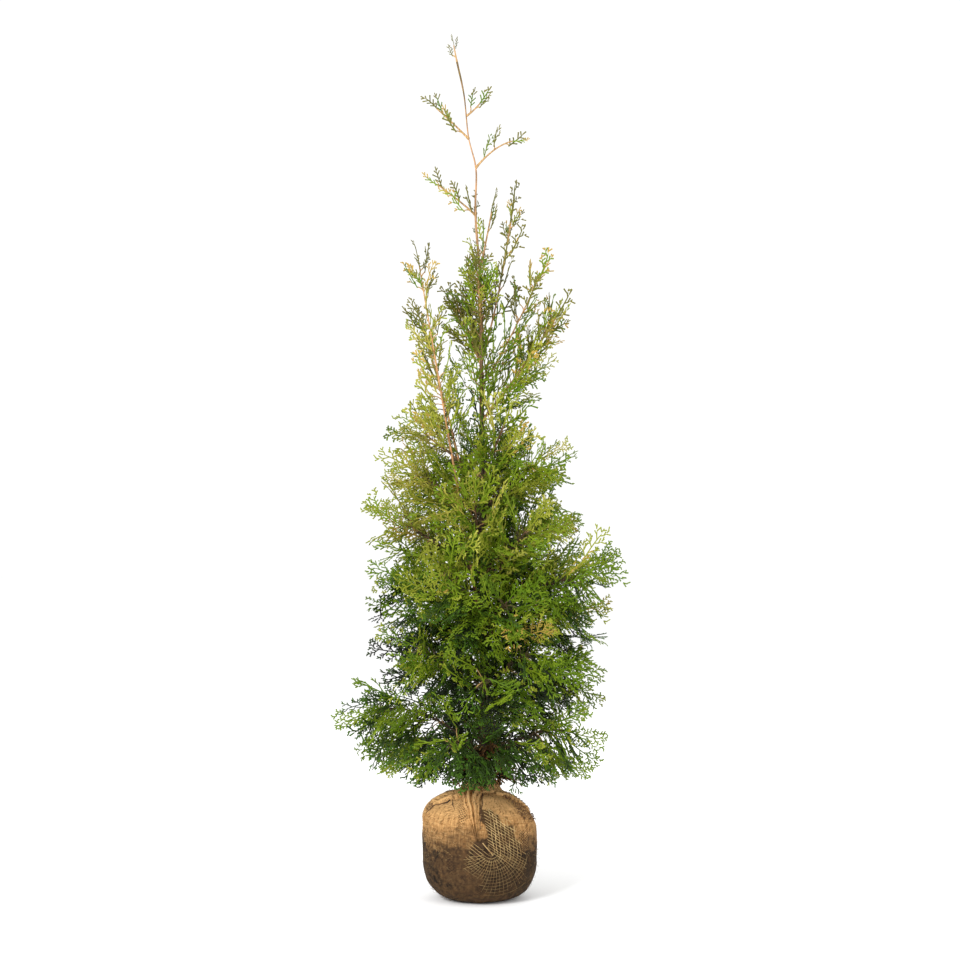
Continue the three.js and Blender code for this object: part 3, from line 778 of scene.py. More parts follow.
class Blades:
    # flat leafy shapes with a keel, closed on all sides

    def __init__(self):
        self.points, self.faces = [], []

    def ribbon(self, line, widths, thickness):
        line = np.asarray(line, float)
        tangents = np.gradient(line, axis=0)
        rings = []
        for i in range(len(line) - 1):
            tangent = unit(tangents[i])
            half = unit(np.cross(up, tangent)) * widths[i] / 2
            first = len(self.points)
            self.points += [line[i] - half, line[i] + half, line[i] + np.cross(tangent, unit(half)) * thickness]
            rings.append((first, first + 1, first + 2))
        tip = len(self.points)
        self.points.append(line[-1])
        r, l, t = rings[0]
        self.faces.append((r, t, l))
        for (ra, la, ta), (rb, lb, tb) in zip(rings, rings[1:]):
            self.faces += [(la, lb, rb, ra), (ra, rb, tb, ta), (la, ta, tb, lb)]
        r, l, t = rings[-1]
        self.faces += [(l, tip, r), (r, tip, t), (l, t, tip)]

    def scale(self, foot, way, length, width, thickness):
        # one blunt scale leaf: four corners and a ridge
        side = unit(np.cross(up, way)) * width / 2
        base = len(self.points)
        end = foot + way * length
        self.points += [foot - side * 0.7, foot + side * 0.7, end + side * 0.9, end - side * 0.9,
                        foot + way * length * 0.6 + np.cross(way, unit(side)) * thickness]
        a, b, c, d, top = range(base, base + 5)
        self.faces += [(a, b, c, d), (b, a, top), (c, b, top), (d, c, top), (a, d, top)]


def turned(heading, angle):
    c, s = math.cos(angle), math.sin(angle)
    return np.array([heading[0] * c - heading[1] * s, heading[0] * s + heading[1] * c, heading[2]])


def growSpray(length, seed, form):
    draw = np.random.RandomState(seed)
    shape = {**sprayShape, **form}
    blade, tips = Blades(), Blades()
    thickness, featherWidth = shape["thickness"], shape["featherWidth"]
    swerve = lambda: draw.uniform(-shape["tilt"], shape["tilt"])
    vary = lambda: draw.uniform(0.85, 1.15)
    bend = draw.uniform(-0.45, 0.45)
    nod = draw.uniform(-0.5, 1.0) * shape["nod"]
    shares = np.linspace(0, 1, shape["ribPoints"] + 1)
    heading = bend * (shares - 0.4)
    step = lambda part: np.concatenate([[0], np.cumsum(part(heading[:-1])) * length / shape["ribPoints"]])
    rib = np.stack([step(np.cos), step(np.sin), -nod * length * shares ** 2])
    ribAt = lambda s: np.array([np.interp(s, shares, row) for row in rib])
    headingAt = lambda s: unit(ribAt(min(1, s + 0.02)) - ribAt(max(0, s - 0.02)))

    def leaf(share, foot, way, side, size):
        blades = tips if share > shape["tipShare"] else blade
        scaleWay = turned(way, side * math.radians(shape["scaleAngle"] + draw.uniform(-9, 9)))
        scaleWay[2] += swerve()
        blades.scale(foot, unit(scaleWay), size * draw.uniform(0.75, 1.15), shape["scaleWidth"], thickness)

    def feather(root, way, reach, inward):
        # a side branchlet that bends forward and forks into a few scale leaves towards its end
        points, ways = [root], [way]
        for i in range(3):
            points.append(points[-1] + turned(way, inward * i / 2) * reach / 3)
            ways.append(turned(way, inward * (i + 1) / 2))
        blade.ribbon([points[0], points[1], lerp(points[2], points[3], 0.2)],
                     [featherWidth * 0.85, featherWidth], thickness)
        tips.ribbon([points[2], lerp(points[2], points[3], 0.6), points[3]],
                    [featherWidth * 0.9, featherWidth], thickness)
        along = max(6.0, shape["firstScale"] * reach)
        side = draw.choice([-1, 1])
        while along < reach - 4:
            share = along / reach
            index = min(2, int(share * 3))
            foot = lerp(points[index], points[index + 1], share * 3 - index)
            side = -side
            leaf(share, foot, ways[index], side, shape["scaleLength"] * (1.1 - 0.42 * share))
            along += shape["scalePitch"] * vary()

    blade.ribbon([ribAt(s) for s in np.linspace(0, 0.94, shape["ribSteps"])],
                 np.linspace(shape["ribWidth"], featherWidth * 0.8, shape["ribSteps"]), thickness * 1.2)
    tips.scale(ribAt(0.9), headingAt(0.95), 10, shape["scaleWidth"], thickness)
    at = shape["firstAt"] * length + 1
    side = draw.choice([-1, 1])
    while at < length * 0.95:
        share = at / length
        side = -side
        angle = math.radians(lerp(*shape["angle"], share) + draw.uniform(-7, 7))
        reach = shape["reach"] * length * sprayEnvelope(share) / math.sin(angle) * draw.uniform(0.68, 1.15)
        reach = min(reach, length * (1.04 - share) * 1.2)
        if reach < shape["leastFeather"]:
            leaf(share, ribAt(share), headingAt(share), side, max(8.5, reach * 0.95))
            at += shape["leafPitch"] * vary()
            continue
        way = turned(headingAt(share), side * angle)
        way[2] += swerve()
        way = unit(way)
        inward = -side * math.radians(draw.uniform(10, 34))
        feather(ribAt(share), way, reach, inward)
        if reach > shape["forkFrom"] and draw.uniform() < shape["fork"]:
            # long branchlets fork once
            fork = ribAt(share) + turned(way, inward * 0.2) * reach * draw.uniform(0.3, 0.42)
            forkWay = turned(way, -side * math.radians(38))
            feather(fork, forkWay, reach * draw.uniform(0.4, 0.55), inward * 0.5)
        at += lerp(*shape["featherPitch"], share) * vary()
    return blade, tips


def makeTemplates():
    shelves = {"blade": bpy.data.collections.new("sprayBlades"), "tips": bpy.data.collections.new("sprayTips")}
    forms = [form for form in sprayForms.values() for _ in range(form["variants"])]
    kinds = itertools.product(sprayShape["sizes"].values(), forms)
    for number, (length, form) in enumerate(kinds):
        for part, blades in zip(shelves, growSpray(length, sprayShape["seed"] + number, form)):
            mesh = bpy.data.meshes.new(f"{part}{number:02d}")
            mesh.from_pydata([tuple(p * mm) for p in blades.points], [], blades.faces)
            shelves[part].objects.link(bpy.data.objects.new(mesh.name, mesh))
    return shelves


shelves = makeTemplates()
templateFaces = {part: [faceCount(o.data) for o in shelf.objects] for part, shelf in shelves.items()}
print("templates:", templateFaces)


# Foliage colours, dealt out by spray: the blades' from painted shade to painted light, with bronze, withered
# and olive ones, and their tips'

foliageColours = {
    "blade": {
        "shadeGreen": (12, 20, 3), "deepGreen": (37, 57, 6), "leafGreen": (82, 108, 10),
        "freshGreen": (106, 126, 17), "limeGreen": (128, 134, 36), "oliveGold": (152, 146, 58),
        "bronze": (146, 126, 52), "witheredBrown": (74, 50, 26), "crownOlive": (92, 92, 32),
    },
    "tips": {
        "shadeTips": (30, 48, 6), "deepTips": (54, 84, 9), "greenTips": (95, 118, 15),
        "limeTips": (126, 134, 36), "paleTips": (150, 150, 60), "bronzeTips": (162, 136, 60),
        "oliveTips": (104, 100, 36), "brownTips": (112, 78, 42),
    },
}
crownDepth = 0.77  # of its width
crownReach = ((220, 500, 760, 1100, 1500), (250, 280, 230, 170, 70))  # by height
# for each shade the share of its first tips, then these and the others
tipsByShade = ((1, "shadeTips", ""), (1, "deepTips", ""), (0.75, "greenTips", "limeTips"),
               (0.45, "limeTips", "greenTips"), (0.35, "paleTips", "limeTips"), (0.35, "paleTips", "limeTips"),
               (0.35, "paleTips", "limeTips"))
antlerShare = (0.4, 0.9)  # low and high on the plant
bronzeShare, brownTipShare = (0.02, 0.03), (0.05, 0.2)  # and how much they grow towards the top
witheredRule = {
    "count": 120, "height": (236, 66), "turns": (200, 345), "withered": 0.62, "boughs": 13,
    "standOff": (16, 26), "rise": (6, -10), "droop": (-0.7, 0.9), "length": (28, 26), "lowest": 238,
    "lowestTip": 222,
}


def drawOf(spray):
    return lambda n: chance(spray["branch"].number, round(spray["draw"] * 1000), n)


def lightOn(tip, outer, spray):
    # painted light, from 0 in the shade to 5 in full light: more towards the top, on the outer sprays and on
    # the upper
    #     left, some on the tips of the skirt, less on the left between skirt and middle; the rest varies at
    #     random and with how far the spray faces up
    x, _, height = tip
    light = 1.1 + 1.9 * smooth(300, 1050, height)
    light = light + 2.7 * (min(0.86, outer) - 0.55) * (1 - 0.6 * smooth(900, 1300, height))
    light += 0.9 * (1 - smooth(-120, 0, x)) * smooth(560, 760, height) * (1 - smooth(1050, 1200, height))
    light += 0.7 * (1 - smooth(280, 400, height)) * smooth(60, 140, abs(x))
    light -= 1.1 * smooth(120, 190, -x) * smooth(340, 430, height) * (1 - smooth(640, 720, height))
    return light + ((spray["draw"] - 0.5) * 2.8 + 0.5 * (spray["along"][2] - 0.3))


def dealColours():
    order = list(foliageColours["blade"])
    for spray in sprays:
        draw = drawOf(spray)
        tip = spray["joint"] + spray["along"] * spray["length"]
        out = math.hypot(tip[0], tip[1] / crownDepth)
        height = tip[2]
        outer = out / np.interp(height, *crownReach)
        shade = int(np.clip(round(lightOn(tip, outer, spray)), 0, 5))
        bronze = drawn(bronzeShare, smooth(900, 1500, height)) * smooth(380, 520, height)
        if draw(11) < bronze and outer > 0.6:
            shade = order.index("bronze")
        brown = drawn(brownTipShare, smooth(700, 1300, height))
        brown = brown * smooth(380, 560, height) * smooth(0.5, 0.8, outer)
        share, first, other = tipsByShade[shade]
        if shade >= 2 and draw(12) > 1 - brown:
            colours = order[shade], "bronzeTips"
        elif draw(12) < 0.8 * smooth(1020, 1330, height):
            colours = ("crownOlive" if draw(12) < 0.6 else "leafGreen"), "oliveTips"
        else:
            colours = order[shade], first if draw(12) < share else other
        # painted shade on the low sprays close in by the trunk or over the middle of the ball
        if height < 310 and (out < 125 or abs(tip[0]) < 75):
            colours = "deepGreen", "deepTips"
        spray["blade"], spray["tips"] = colours


def witheredSprays():
    # a dead clump hangs before the foot of the trunk, with small green sprays in painted shade in it
    rule = witheredRule
    made = []
    for i in range(rule["count"]):
        draw = lambda n: chance(90, i, n)
        angle = math.radians(lerp(*rule["turns"], draw(2)))
        root = trunkLine.point(trunkLine.shareAt(drawn(rule["height"], draw(1))))
        out = np.array([math.cos(angle), math.sin(angle), 0.0])
        joint = root + out * drawn(rule["standOff"], draw(3)) + up * drawn(rule["rise"], draw(4))
        along = unit(out + up * drawn(rule["droop"], draw(5)))
        level, rising = frameAt(along)
        roll = draw(6) * math.pi
        length = drawn(rule["length"], draw(7))
        tip = joint + along * length
        if tip[2] < rule["lowestTip"] + 0.1 * max(0, 60 + tip[1]) or joint[2] < rule["lowest"]:
            continue
        isDead = draw(9) < rule["withered"]
        made.append({"root": root, "joint": joint, "along": along, "length": length, "tangent": up, "order": 2,
                     "across": level * math.cos(roll) + rising * math.sin(roll), "draw": draw(8),
                     "branch": branches[i % rule["boughs"]], "tips": "brownTips" if isDead else "shadeTips",
                     "blade": "witheredBrown" if isDead else "shadeGreen"})
    return made


def chooseTemplates():
    lengths = list(sprayShape["sizes"].values())
    antlers, plumes = sprayForms["antler"]["variants"], sprayForms["plume"]["variants"]
    for spray in sprays:
        draw = drawOf(spray)
        nearest = min(range(len(lengths)), key=lambda i: abs(math.log(spray["length"] / lengths[i])))
        if draw(14) < lerp(*antlerShare, smooth(500, 1100, spray["joint"][2])):
            variant = int(draw(13) * antlers)
        else:
            variant = antlers + int(draw(13) * plumes)
        spray["kind"] = nearest * (antlers + plumes) + variant
        spray["size"] = spray["length"] / lengths[nearest]
        along = spray["along"]
        face = unit(np.cross(along, spray["across"]))
        if face[2] < 0:  # the keeled face looks up
            face = -face
        q = Matrix(np.array([along, np.cross(face, along), face]).T.tolist()).to_quaternion()
        spray["turn"] = (q.w, q.x, q.y, q.z)


# what the points of a leaf piece carry for the tree
sprayMarks = {"turn": "QUATERNION", "size": "FLOAT", "kind": "INT"}


def sprayTree():
    nodes, start, end = geometryTree("sprayOnPoints", [
        ("Sprays", "Collection", None), ("Colour", "Material", None),
        ("Size", "Float", 1.0), ("Sway", "Float", 0.05), ("Seed", "Int", 3)])
    shelf = nodes.result("GeometryNodeCollectionInfo", in_0=start["Sprays"], in_1=True, in_2=True)
    turn, size, kind = (nodes.mark(name, data) for name, data in sprayMarks.items())
    sway = nodes.result("FunctionNodeRandomValue", {"data_type": "FLOAT_VECTOR"}, Max=start["Sway"],
                        Min=nodes.signal(start["Sway"]) * -1.0, Seed=start["Seed"])
    swayTurn = nodes.result("FunctionNodeEulerToRotation", in_0=sway)
    whole = nodes.result("FunctionNodeRotateRotation", {"rotation_space": "LOCAL"}, in_0=turn, in_1=swayTurn)
    scale = nodes.signal(size) * nodes.signal(start["Size"])
    made = nodes.result("GeometryNodeInstanceOnPoints", Points=start["Geometry"], Instance=shelf,
                        PickInstance=True, InstanceIndex=kind, Rotation=whole, Scale=scale)
    return nodes.painted(made, start, end)


dealColours()
sprays += witheredSprays()
chooseTemplates()
onPoints = sprayTree()
pieceLimit = 185000
brightFrom = 900  # the mean height from which a piece counts as bright


def leafPiece(part, group, paint):
    chosen = sorted((s for s in sprays if s[part] == group), key=lambda s: s["joint"][2])
    total = sum(templateFaces[part][s["kind"]] for s in chosen)
    count = math.ceil(total / pieceLimit)
    colour, _ = newMaterial(group, BaseColor=linear(*paint), Roughness=0.6, SpecularIORLevel=0.2)
    for i in range(count):
        share = chosen[i * len(chosen) // count:(i + 1) * len(chosen) // count]
        obj = meshPiece(f"{group}_{i + 1}" if count > 1 else group, [s["joint"] * mm for s in share])
        for name, kind in sprayMarks.items():
            values = np.array([s[name] for s in share], np.int32 if kind == "INT" else np.float32)
            obj.data.attributes.new(name, kind, "POINT").data.foreach_set("value", values.ravel())
        runTree(obj, onPoints, Sprays=shelves[part], Colour=colour, Seed=3)
        bright = np.mean([s["joint"][2] for s in share]) > brightFrom
        settle(obj, "bright_foliage" if bright else "deep_foliage",
               *sorted({f"foliage_{s['branch'].name}" for s in share}))
        print("leaf piece", obj.name, len(share), "sprays", faceCount(obj.data), "faces")


for part, colours in foliageColours.items():
    for group, paint in colours.items():
        leafPiece(part, group, paint)
for shelf in shelves.values():
    for template in list(shelf.objects):
        bpy.data.objects.remove(template)
    bpy.data.collections.remove(shelf)


# Trunk, boughs and stems with their bark

barkShape = {
    "trunkSides": 44, "trunkStep": 4.5, "stemSides": 12, "stemStep": 7.0,
    "trunkStrips": 0.136, "strips": 0.085, "collarGrowth": 0.7, "collarLength": 9.0,
    "topGrowth": (0.84, 0.97, 0.5), "coleaderSlim": 0.78,
}
barkStops = {
    "trunkBark": ((0.12, (50, 36, 28)), (0.3, (62, 46, 36)), (0.5, (84, 64, 48)), (0.66, (150, 116, 78)),
                  (0.85, (196, 150, 106)), (0.94, (112, 92, 42))),
    "stemBark": ((0.12, (54, 40, 26)), (0.3, (72, 54, 32)), (0.5, (120, 86, 54)), (0.8, (160, 122, 78))),
    "youngBark": ((0.3, (116, 74, 46)), (0.37, (176, 118, 72)), (0.5, (212, 156, 102)), (0.8, (198, 158, 104))),
}


def limbRings(line, first, last, radiusAt, sides, step, relief, seed):
    way = np.diff([line.point(s) for s in np.linspace(first, last, 60)], axis=0)
    length = np.linalg.norm(way, axis=1).sum()
    count = max(4, int(length / step))
    rings = []
    level, _ = frameAt(line.tangent(first))
    for i in range(count + 1):
        share = lerp(first, last, i / count)
        tangent = line.tangent(share)
        level = unit(level - tangent * level.dot(tangent))
        side = np.cross(tangent, level)
        centre = line.point(share)
        radius = radiusAt(share, i / count * length)
        ring = []
        for j in range(sides):
            a = j / sides * math.tau
            out = level * math.cos(a) + side * math.sin(a)
            place = Vector((out[0] * 2.6 + seed, out[1] * 2.6, i / count * length / 60))
            ridge = noise.fractal(place, 0.9, 2.1, 3) - 0.5 * abs(noise.noise(place * 3.1))
            ring.append(centre + out * radius * (1 + relief * ridge))
        rings.append(ring)
    return rings


def limbMesh(name, limbs):
    # closed tubes, each from its rings of points
    points, faces = [], []
    for rings in limbs:
        base, sides = len(points), len(rings[0])
        points += [p * mm for ring in rings for p in ring]
        last = len(points) - sides
        faces += gridFaces(len(rings), sides, base)
        faces += [range(base, base + sides)[::-1], range(last, last + sides)]
    return meshPiece(name, points, faces)


def trunkRings():
    start = trunkLine.shareAt(trunk["footHeight"] + 1)
    low, high, growth = barkShape["topGrowth"]
    radiusAt = lambda s, d: trunkRadius(s) * (1 + growth * smooth(low, high, s))
    return limbRings(trunkLine, start, 1, radiusAt, barkShape["trunkSides"], barkShape["trunkStep"],
                     barkShape["trunkStrips"], 3.0)


def stemRings(branch):
    shape = barkShape
    slim = shape["coleaderSlim"] if branch.name.startswith("coleader") else 1.0
    radiusAt = lambda s, d: slim * lerp(branch.root, branchRadius["tip"], s) * (
        1 + shape["collarGrowth"] * math.exp(-d / shape["collarLength"]))
    return limbRings(branch.line, 0, branch.stemEnd + 0.02, radiusAt, shape["stemSides"], shape["stemStep"],
                     shape["strips"], branch.number * 3.7)


def barkMaterial(name):
    material, nodes = newMaterial(name, Roughness=0.85)
    height = nodes.part(nodes.place(), 2)
    long = nodes.result("ShaderNodeMapping", Vector=nodes.place(), Scale=(1.0, 1.0, 0.14))
    strips = nodes.grain(420.0, 5.0, long)
    share = (height / 1.75 + (nodes.grain(60.0, 3.0) - 0.5) * 0.16).held()
    bark = nodes.ramp(share, barkStops[name])
    dark = nodes.blend(0.55, bark, (0.03, 0.018, 0.01))
    nodes.finish(nodes.blend(((strips - 0.42) * 4.5).held(), dark, bark), strips, 0.6, 0.0012)
    return material


youngStems = [b for b in branches if b.young]
oldStems = [b for b in branches if not b.young]
for name, paint, slot, limbs, nodes in (
    ("bark_trunk", "trunkBark", "bark", [trunkRings()], ["trunk"]),
    ("bark_boughs", "stemBark", "bark", map(stemRings, oldStems),
     [f"bough_{b.name}" for b in oldStems if b.bare]),
    ("bark_young_stems", "youngBark", "young_bark", map(stemRings, youngStems),
     [f"bough_{b.name}" for b in youngStems if b.bare]),
):
    obj = limbMesh(name, limbs)
    obj.data.materials.append(barkMaterial(paint))
    settle(obj, slot, *nodes)
print("bark made")


# Twigs from the stems to the sprays

twigShape = {
    "least": 6, "points": 5, "rootRadius": 1.5, "finerRadius": 1.2, "tipRadius": 1.0, "sides": 5,
    "tanFrom": 980, "tanDraw": 0.88, "bend": (0.35, 0.25), "intoSpray": 3,
    # the slot and two colours of each kind
    "kinds": {"twigs_brown": ("bark", (54, 42, 22), (88, 76, 34)),
              "twigs_tan": ("young_bark", (150, 112, 66), (178, 148, 84))},
}


def tubeTree():
    nodes, start, end = geometryTree("tubeOnLines", [
        ("Colour", "Material", None), ("Width", "Float", 1.0), ("Sides", "Int", 5)])
    line = nodes.result("GeometryNodeMeshToCurve", Mesh=start["Geometry"])
    wide = nodes.signal(nodes.mark("thick")) * nodes.signal(start["Width"])
    circle = nodes.result("GeometryNodeCurvePrimitiveCircle", {"mode": "RADIUS"}, Resolution=start["Sides"],
                          Radius=1.0)
    tube = nodes.result("GeometryNodeCurveToMesh", Curve=line, ProfileCurve=circle, Scale=wide, FillCaps=True)
    return nodes.painted(tube, start, end)


tubes = tubeTree()


def linesPiece(name, slot, lines, paint, sides, shadeSmooth=False):
    # each line is its points in metres and a radius for each point
    points, edges, thick = [], [], []
    for line, radii in lines:
        base = len(points)
        points += list(line)
        thick += list(radii)
        edges += [(base + i, base + i + 1) for i in range(len(line) - 1)]
    obj = meshPiece(name, points, edges=edges)
    obj.data.attributes.new("thick", "FLOAT", "POINT").data.foreach_set("value", np.array(thick, np.float32))
    runTree(obj, tubes, Colour=paint, Sides=sides)
    if shadeSmooth:
        obj.data.polygons.foreach_set("use_smooth", [True] * len(obj.data.polygons))
    settle(obj, slot)
    print(name, len(lines), "lines", faceCount(obj.data), "faces")


def makeTwigs():
    shape = twigShape
    groups = {name: [] for name in shape["kinds"]}
    for spray in sprays:
        root, joint = spray["root"], spray["joint"]
        reach = np.linalg.norm(joint - root)
        if reach < shape["least"]:
            continue
        alongStem, toSpray = shape["bend"]
        bend = root + spray["tangent"] * reach * alongStem + (joint - root) * toSpray
        end = joint + spray["along"] * shape["intoSpray"]
        line = [((1 - t) ** 2 * root + 2 * t * (1 - t) * bend + t ** 2 * end) * mm
                for t in np.linspace(0, 1, shape["points"])]
        thick = shape["finerRadius"] if spray["order"] else shape["rootRadius"]
        isTan = joint[2] > shape["tanFrom"] or spray["draw"] > shape["tanDraw"]
        radii = np.linspace(thick, shape["tipRadius"], shape["points"]) * mm
        groups["twigs_tan" if isTan else "twigs_brown"].append((line, radii))
    for name, (slot, dark, light) in shape["kinds"].items():
        skin = grainedMaterial(name + "_skin", dark, light, (120.0, 2.0), 3.0, 0.7)
        linesPiece(name, slot, groups[name], skin, shape["sides"], shadeSmooth=True)


makeTwigs()


# The burlap ball

ball = {
    "radius": 114.5, "height": 214.0, "footRadius": 42.0, "footPower": 0.75, "landingRadius": 30.0,
    "bellyHeight": 80.0, "shoulderStart": 142.0, "shoulderShare": 0.4, "footShare": 0.6, "shoulderTilt": 30.0,
    "tilt": (0.35, 0.7, 0.6), "around": 340, "down": 140, "flatRings": 9,
    # size, waves in a turn, phase and twist
    "swells": ((0.013, 2, 0.6, 0), (0.009, 5, 1.9, 3)),
    "gathers": ((7, 0.9, 1.0), (11, 2.1, 0.8), (16, 0.4, 0.7), (23, 1.2, 0.5)),
    "gatherDepth": 3.4, "gatherFade": 0.13, "lumpSize": 0.05, "lumpDepth": 1.8, "wrinkleSize": 0.016,
    "wrinkleDepth": 0.8, "inset": 1.0, "sunkenNet": 0.9,
}


def ballProfile(share):
    # from the neck over the shoulder, down the straight side and in under the foot
    share = np.asarray(share, float)
    shoulder, foot = ball["shoulderShare"], ball["footShare"]
    above = np.clip(share / shoulder, 0, 1) * math.pi / 2
    below = np.clip((share - foot) / (1 - foot), 0, 1) * math.pi / 2
    beside = np.clip((share - shoulder) / (foot - shoulder), 0, 1)
    landing, radius = ball["landingRadius"], ball["radius"]
    underFoot = (radius - ball["footRadius"]) * np.maximum(0, np.cos(below)) ** ball["footPower"]
    reach = np.where(share < foot, landing + (radius - landing) * np.sin(above), ball["footRadius"] + underFoot)
    start, belly = ball["shoulderStart"], ball["bellyHeight"]
    z = np.where(share < foot, start + (belly - start) * beside, belly * (1 - np.sin(below)))
    return reach, np.where(share < shoulder, start + (ball["height"] - start) * np.cos(above), z)


def shapeBall(x, y, z):
    turn = np.arctan2(y, x)
    h = z / ball["height"]
    swell = sum((size * np.sin(k * turn + phase + twist * h) for size, k, phase, twist in ball["swells"]), 1)
    flat = (h < 1e-6) | (h > 1 - 1e-6)
    lump = np.where(flat, 1, swell)
    tiltFrom, tiltTo, tiltPower = ball["tilt"]
    shoulder = smooth(tiltFrom, tiltTo, h) * np.maximum(0, 1 - h) ** tiltPower
    rise = np.where(flat, 0, -ball["shoulderTilt"] * shoulder * np.cos(turn))
    return np.stack([x * lump, y * lump, z + rise], axis=-1)


def ballSurface(turn, share):
    # turn in radians
    reach, z = ballProfile(share)
    return shapeBall(np.cos(turn) * reach, np.sin(turn) * reach, z)


def ballNormal(turn, share):
    share = np.clip(share, 0.001, 0.989)
    down = ballSurface(turn, share + 0.01) - ballSurface(turn, share)
    aroundWay = ballSurface(turn + 0.01, share) - ballSurface(turn, share)
    normal = np.cross(down, aroundWay)
    return normal / np.linalg.norm(normal, axis=-1, keepdims=True)


# the opening in the cloth where its loose weave shows as a net, as an outline seen from the front
netWindow = {
    "outline": ((-1, 182), (38, 161), (62, 140), (73, 111), (88, 75), (83, 31), (39, 8), (12, 8), (1, 40),
                (-26, 60), (-19, 108), (13, 118), (15, 129), (3, 154)),
    "centre": (22, 88), "armTop": (8, 196), "spacing": 6.6, "strand": 0.56, "lift": 0.6, "layerLift": 0.35,
    "arcs": 14, "slants": 30, "rays": 26, "nearest": -20,
    "views": ((0.0, 1), (158.0, -1)),  # degrees round the ball, and mirrored or not
    # places beside them where the weave is only loosened: middle and half size
    "loosened": ((-36, 170, 10, 28), (-58, 60, 9, 20), (-3, 12, 8, 11), (44, 18, 26, 14), (88, 84, 16, 56)),
    # one pale straw over the middle of the front: ends, lift and radius
    "straw": ((5, 108.5), (25, 84), 2.4, 1.1),
}


def outlineDistance(points, outline):
    # inside is positive, in millimetres
    outline = np.array(outline, float)
    following = np.roll(outline, -1, axis=0)
    way = following - outline
    away = points[:, None, :] - outline[None]
    share = np.clip((away * way).sum(2) / (way ** 2).sum(1), 0, 1)
    distance = np.linalg.norm(away - share[..., None] * way, axis=2).min(1)
    x, z = points[:, 0][:, None], points[:, 1][:, None]
    a, b = outline[None], following[None]
    crosses = ((a[..., 1] > z) != (b[..., 1] > z)) & (
        x < (b[..., 0] - a[..., 0]) * (z - a[..., 1]) / (b[..., 1] - a[..., 1] + 1e-12) + a[..., 0])
    inside = crosses.sum(1) % 2 == 1
    return np.where(inside, distance, -distance)


def seenFrom(points, turn, mirror):
    # where points are seen on the plane through the axis, from the eye turned round by turn
    a = math.radians(turn)
    x = points[:, 0] * math.cos(a) + points[:, 1] * math.sin(a)
    y = -points[:, 0] * math.sin(a) + points[:, 1] * math.cos(a)
    eyeY, eyeZ = studio["eye"][1] / mm, studio["eye"][2] / mm
    stretch = -eyeY / (y - eyeY)
    return np.stack([x * stretch * mirror, eyeZ + (points[:, 2] - eyeZ) * stretch], axis=1), y


def makeBall():
    around, flat = ball["around"], ball["flatRings"]
    turns = np.arange(around) / around * math.tau
    shares = np.linspace(0, 1, ball["down"] + 1)
    inner = [i / flat for i in range(1, flat)]
    rows = [("top", s) for s in inner] + [("side", s) for s in shares] + [("bottom", 1 - s) for s in inner]
    grid, normals, arcs = [], [], [0.0]
    for kind, value in rows:
        if kind == "side":
            row, normal = (surface(turns, np.full(around, value)) for surface in (ballSurface, ballNormal))
        else:
            radius = (ball["landingRadius"] if kind == "top" else ball["footRadius"]) * value
            z = ball["height"] if kind == "top" else 0.0
            row = np.stack([np.cos(turns) * radius, np.sin(turns) * radius, np.full(around, z)], axis=1)
            normal = np.tile([0, 0, 1.0 if kind == "top" else -1.0], (around, 1))
        if grid:
            arcs.append(arcs[-1] + np.median(np.linalg.norm(row - grid[-1], axis=1)))
        grid.append(row)
        normals.append(normal)
    points, normal = np.concatenate(grid), np.concatenate(normals)
    shareOf = np.concatenate([np.zeros(len(inner) * around), np.repeat(shares, around),
                              np.ones(len(inner) * around)])
    turnOf = np.tile(turns, len(rows))
    uv = np.stack([turnOf * ball["radius"], np.repeat(arcs, around)], axis=1)

    side = smooth(0.0, 0.03, shareOf) * (1 - smooth(0.93, 0.995, shareOf))
    gathers = sum(a * np.cos(k * turnOf + p + 2.2 * shareOf * math.sin(k)) for k, p, a in ball["gathers"])
    gathers = (np.abs(gathers) ** 0.8) * np.sign(gathers)
    relief = -ball["gatherDepth"] * np.exp(-shareOf / ball["gatherFade"]) * (0.5 - 0.35 * gathers)
    relief += ball["lumpDepth"] * roughness(points * mm, ball["lumpSize"], 1.0, 2)
    wrinkles = roughness(points * mm * np.array([1, 1, 0.6]), ball["wrinkleSize"], 2.0, 3)
    relief += ball["wrinkleDepth"] * wrinkles * (1 + 1.2 * np.exp(-shareOf / 0.25)) - ball["inset"]
    openness, looseness = np.zeros(len(points)), np.zeros(len(points))
    for turn, mirror in netWindow["views"]:
        seen, depth = seenFrom(points, turn, mirror)
        near = depth < netWindow["nearest"]
        inside = smooth(-4.0, 4.5, outlineDistance(seen, netWindow["outline"]) + 9 * wrinkles)
        openness = np.maximum(openness, inside * near)
        for x, z, wide, high in netWindow["loosened"]:
            away = np.hypot((seen[:, 0] - x) / wide, (seen[:, 1] - z) / high)
            looseness = np.maximum(looseness, (1 - smooth(0.6, 1.2, away + 0.5 * wrinkles)) * near)
    relief -= ball["sunkenNet"] * openness
    points = points + normal * (relief * side)[:, None]

    faces = gridFaces(len(rows), around, flip=True)
    top, last = len(points), (len(rows) - 1) * around
    for j in range(around):
        k = (j + 1) % around
        faces += [(top, j, k), (top + 1, last + k, last + j)]
    points = np.vstack([points, [[0, 0, ball["height"]], [0, 0, 0]]])
    obj = meshPiece("burlap_ball", points * mm, faces)
    addUv(obj, np.vstack([uv, [[0, 0], [0, arcs[-1] + 4]]]) * mm, ball["radius"] * math.tau * mm)
    for name, values in (("open", openness), ("loose", looseness)):
        mask = obj.data.attributes.new(name, "FLOAT", "POINT")
        mask.data.foreach_set("value", np.concatenate([values, [0, 0]]).astype(np.float32))
    return obj


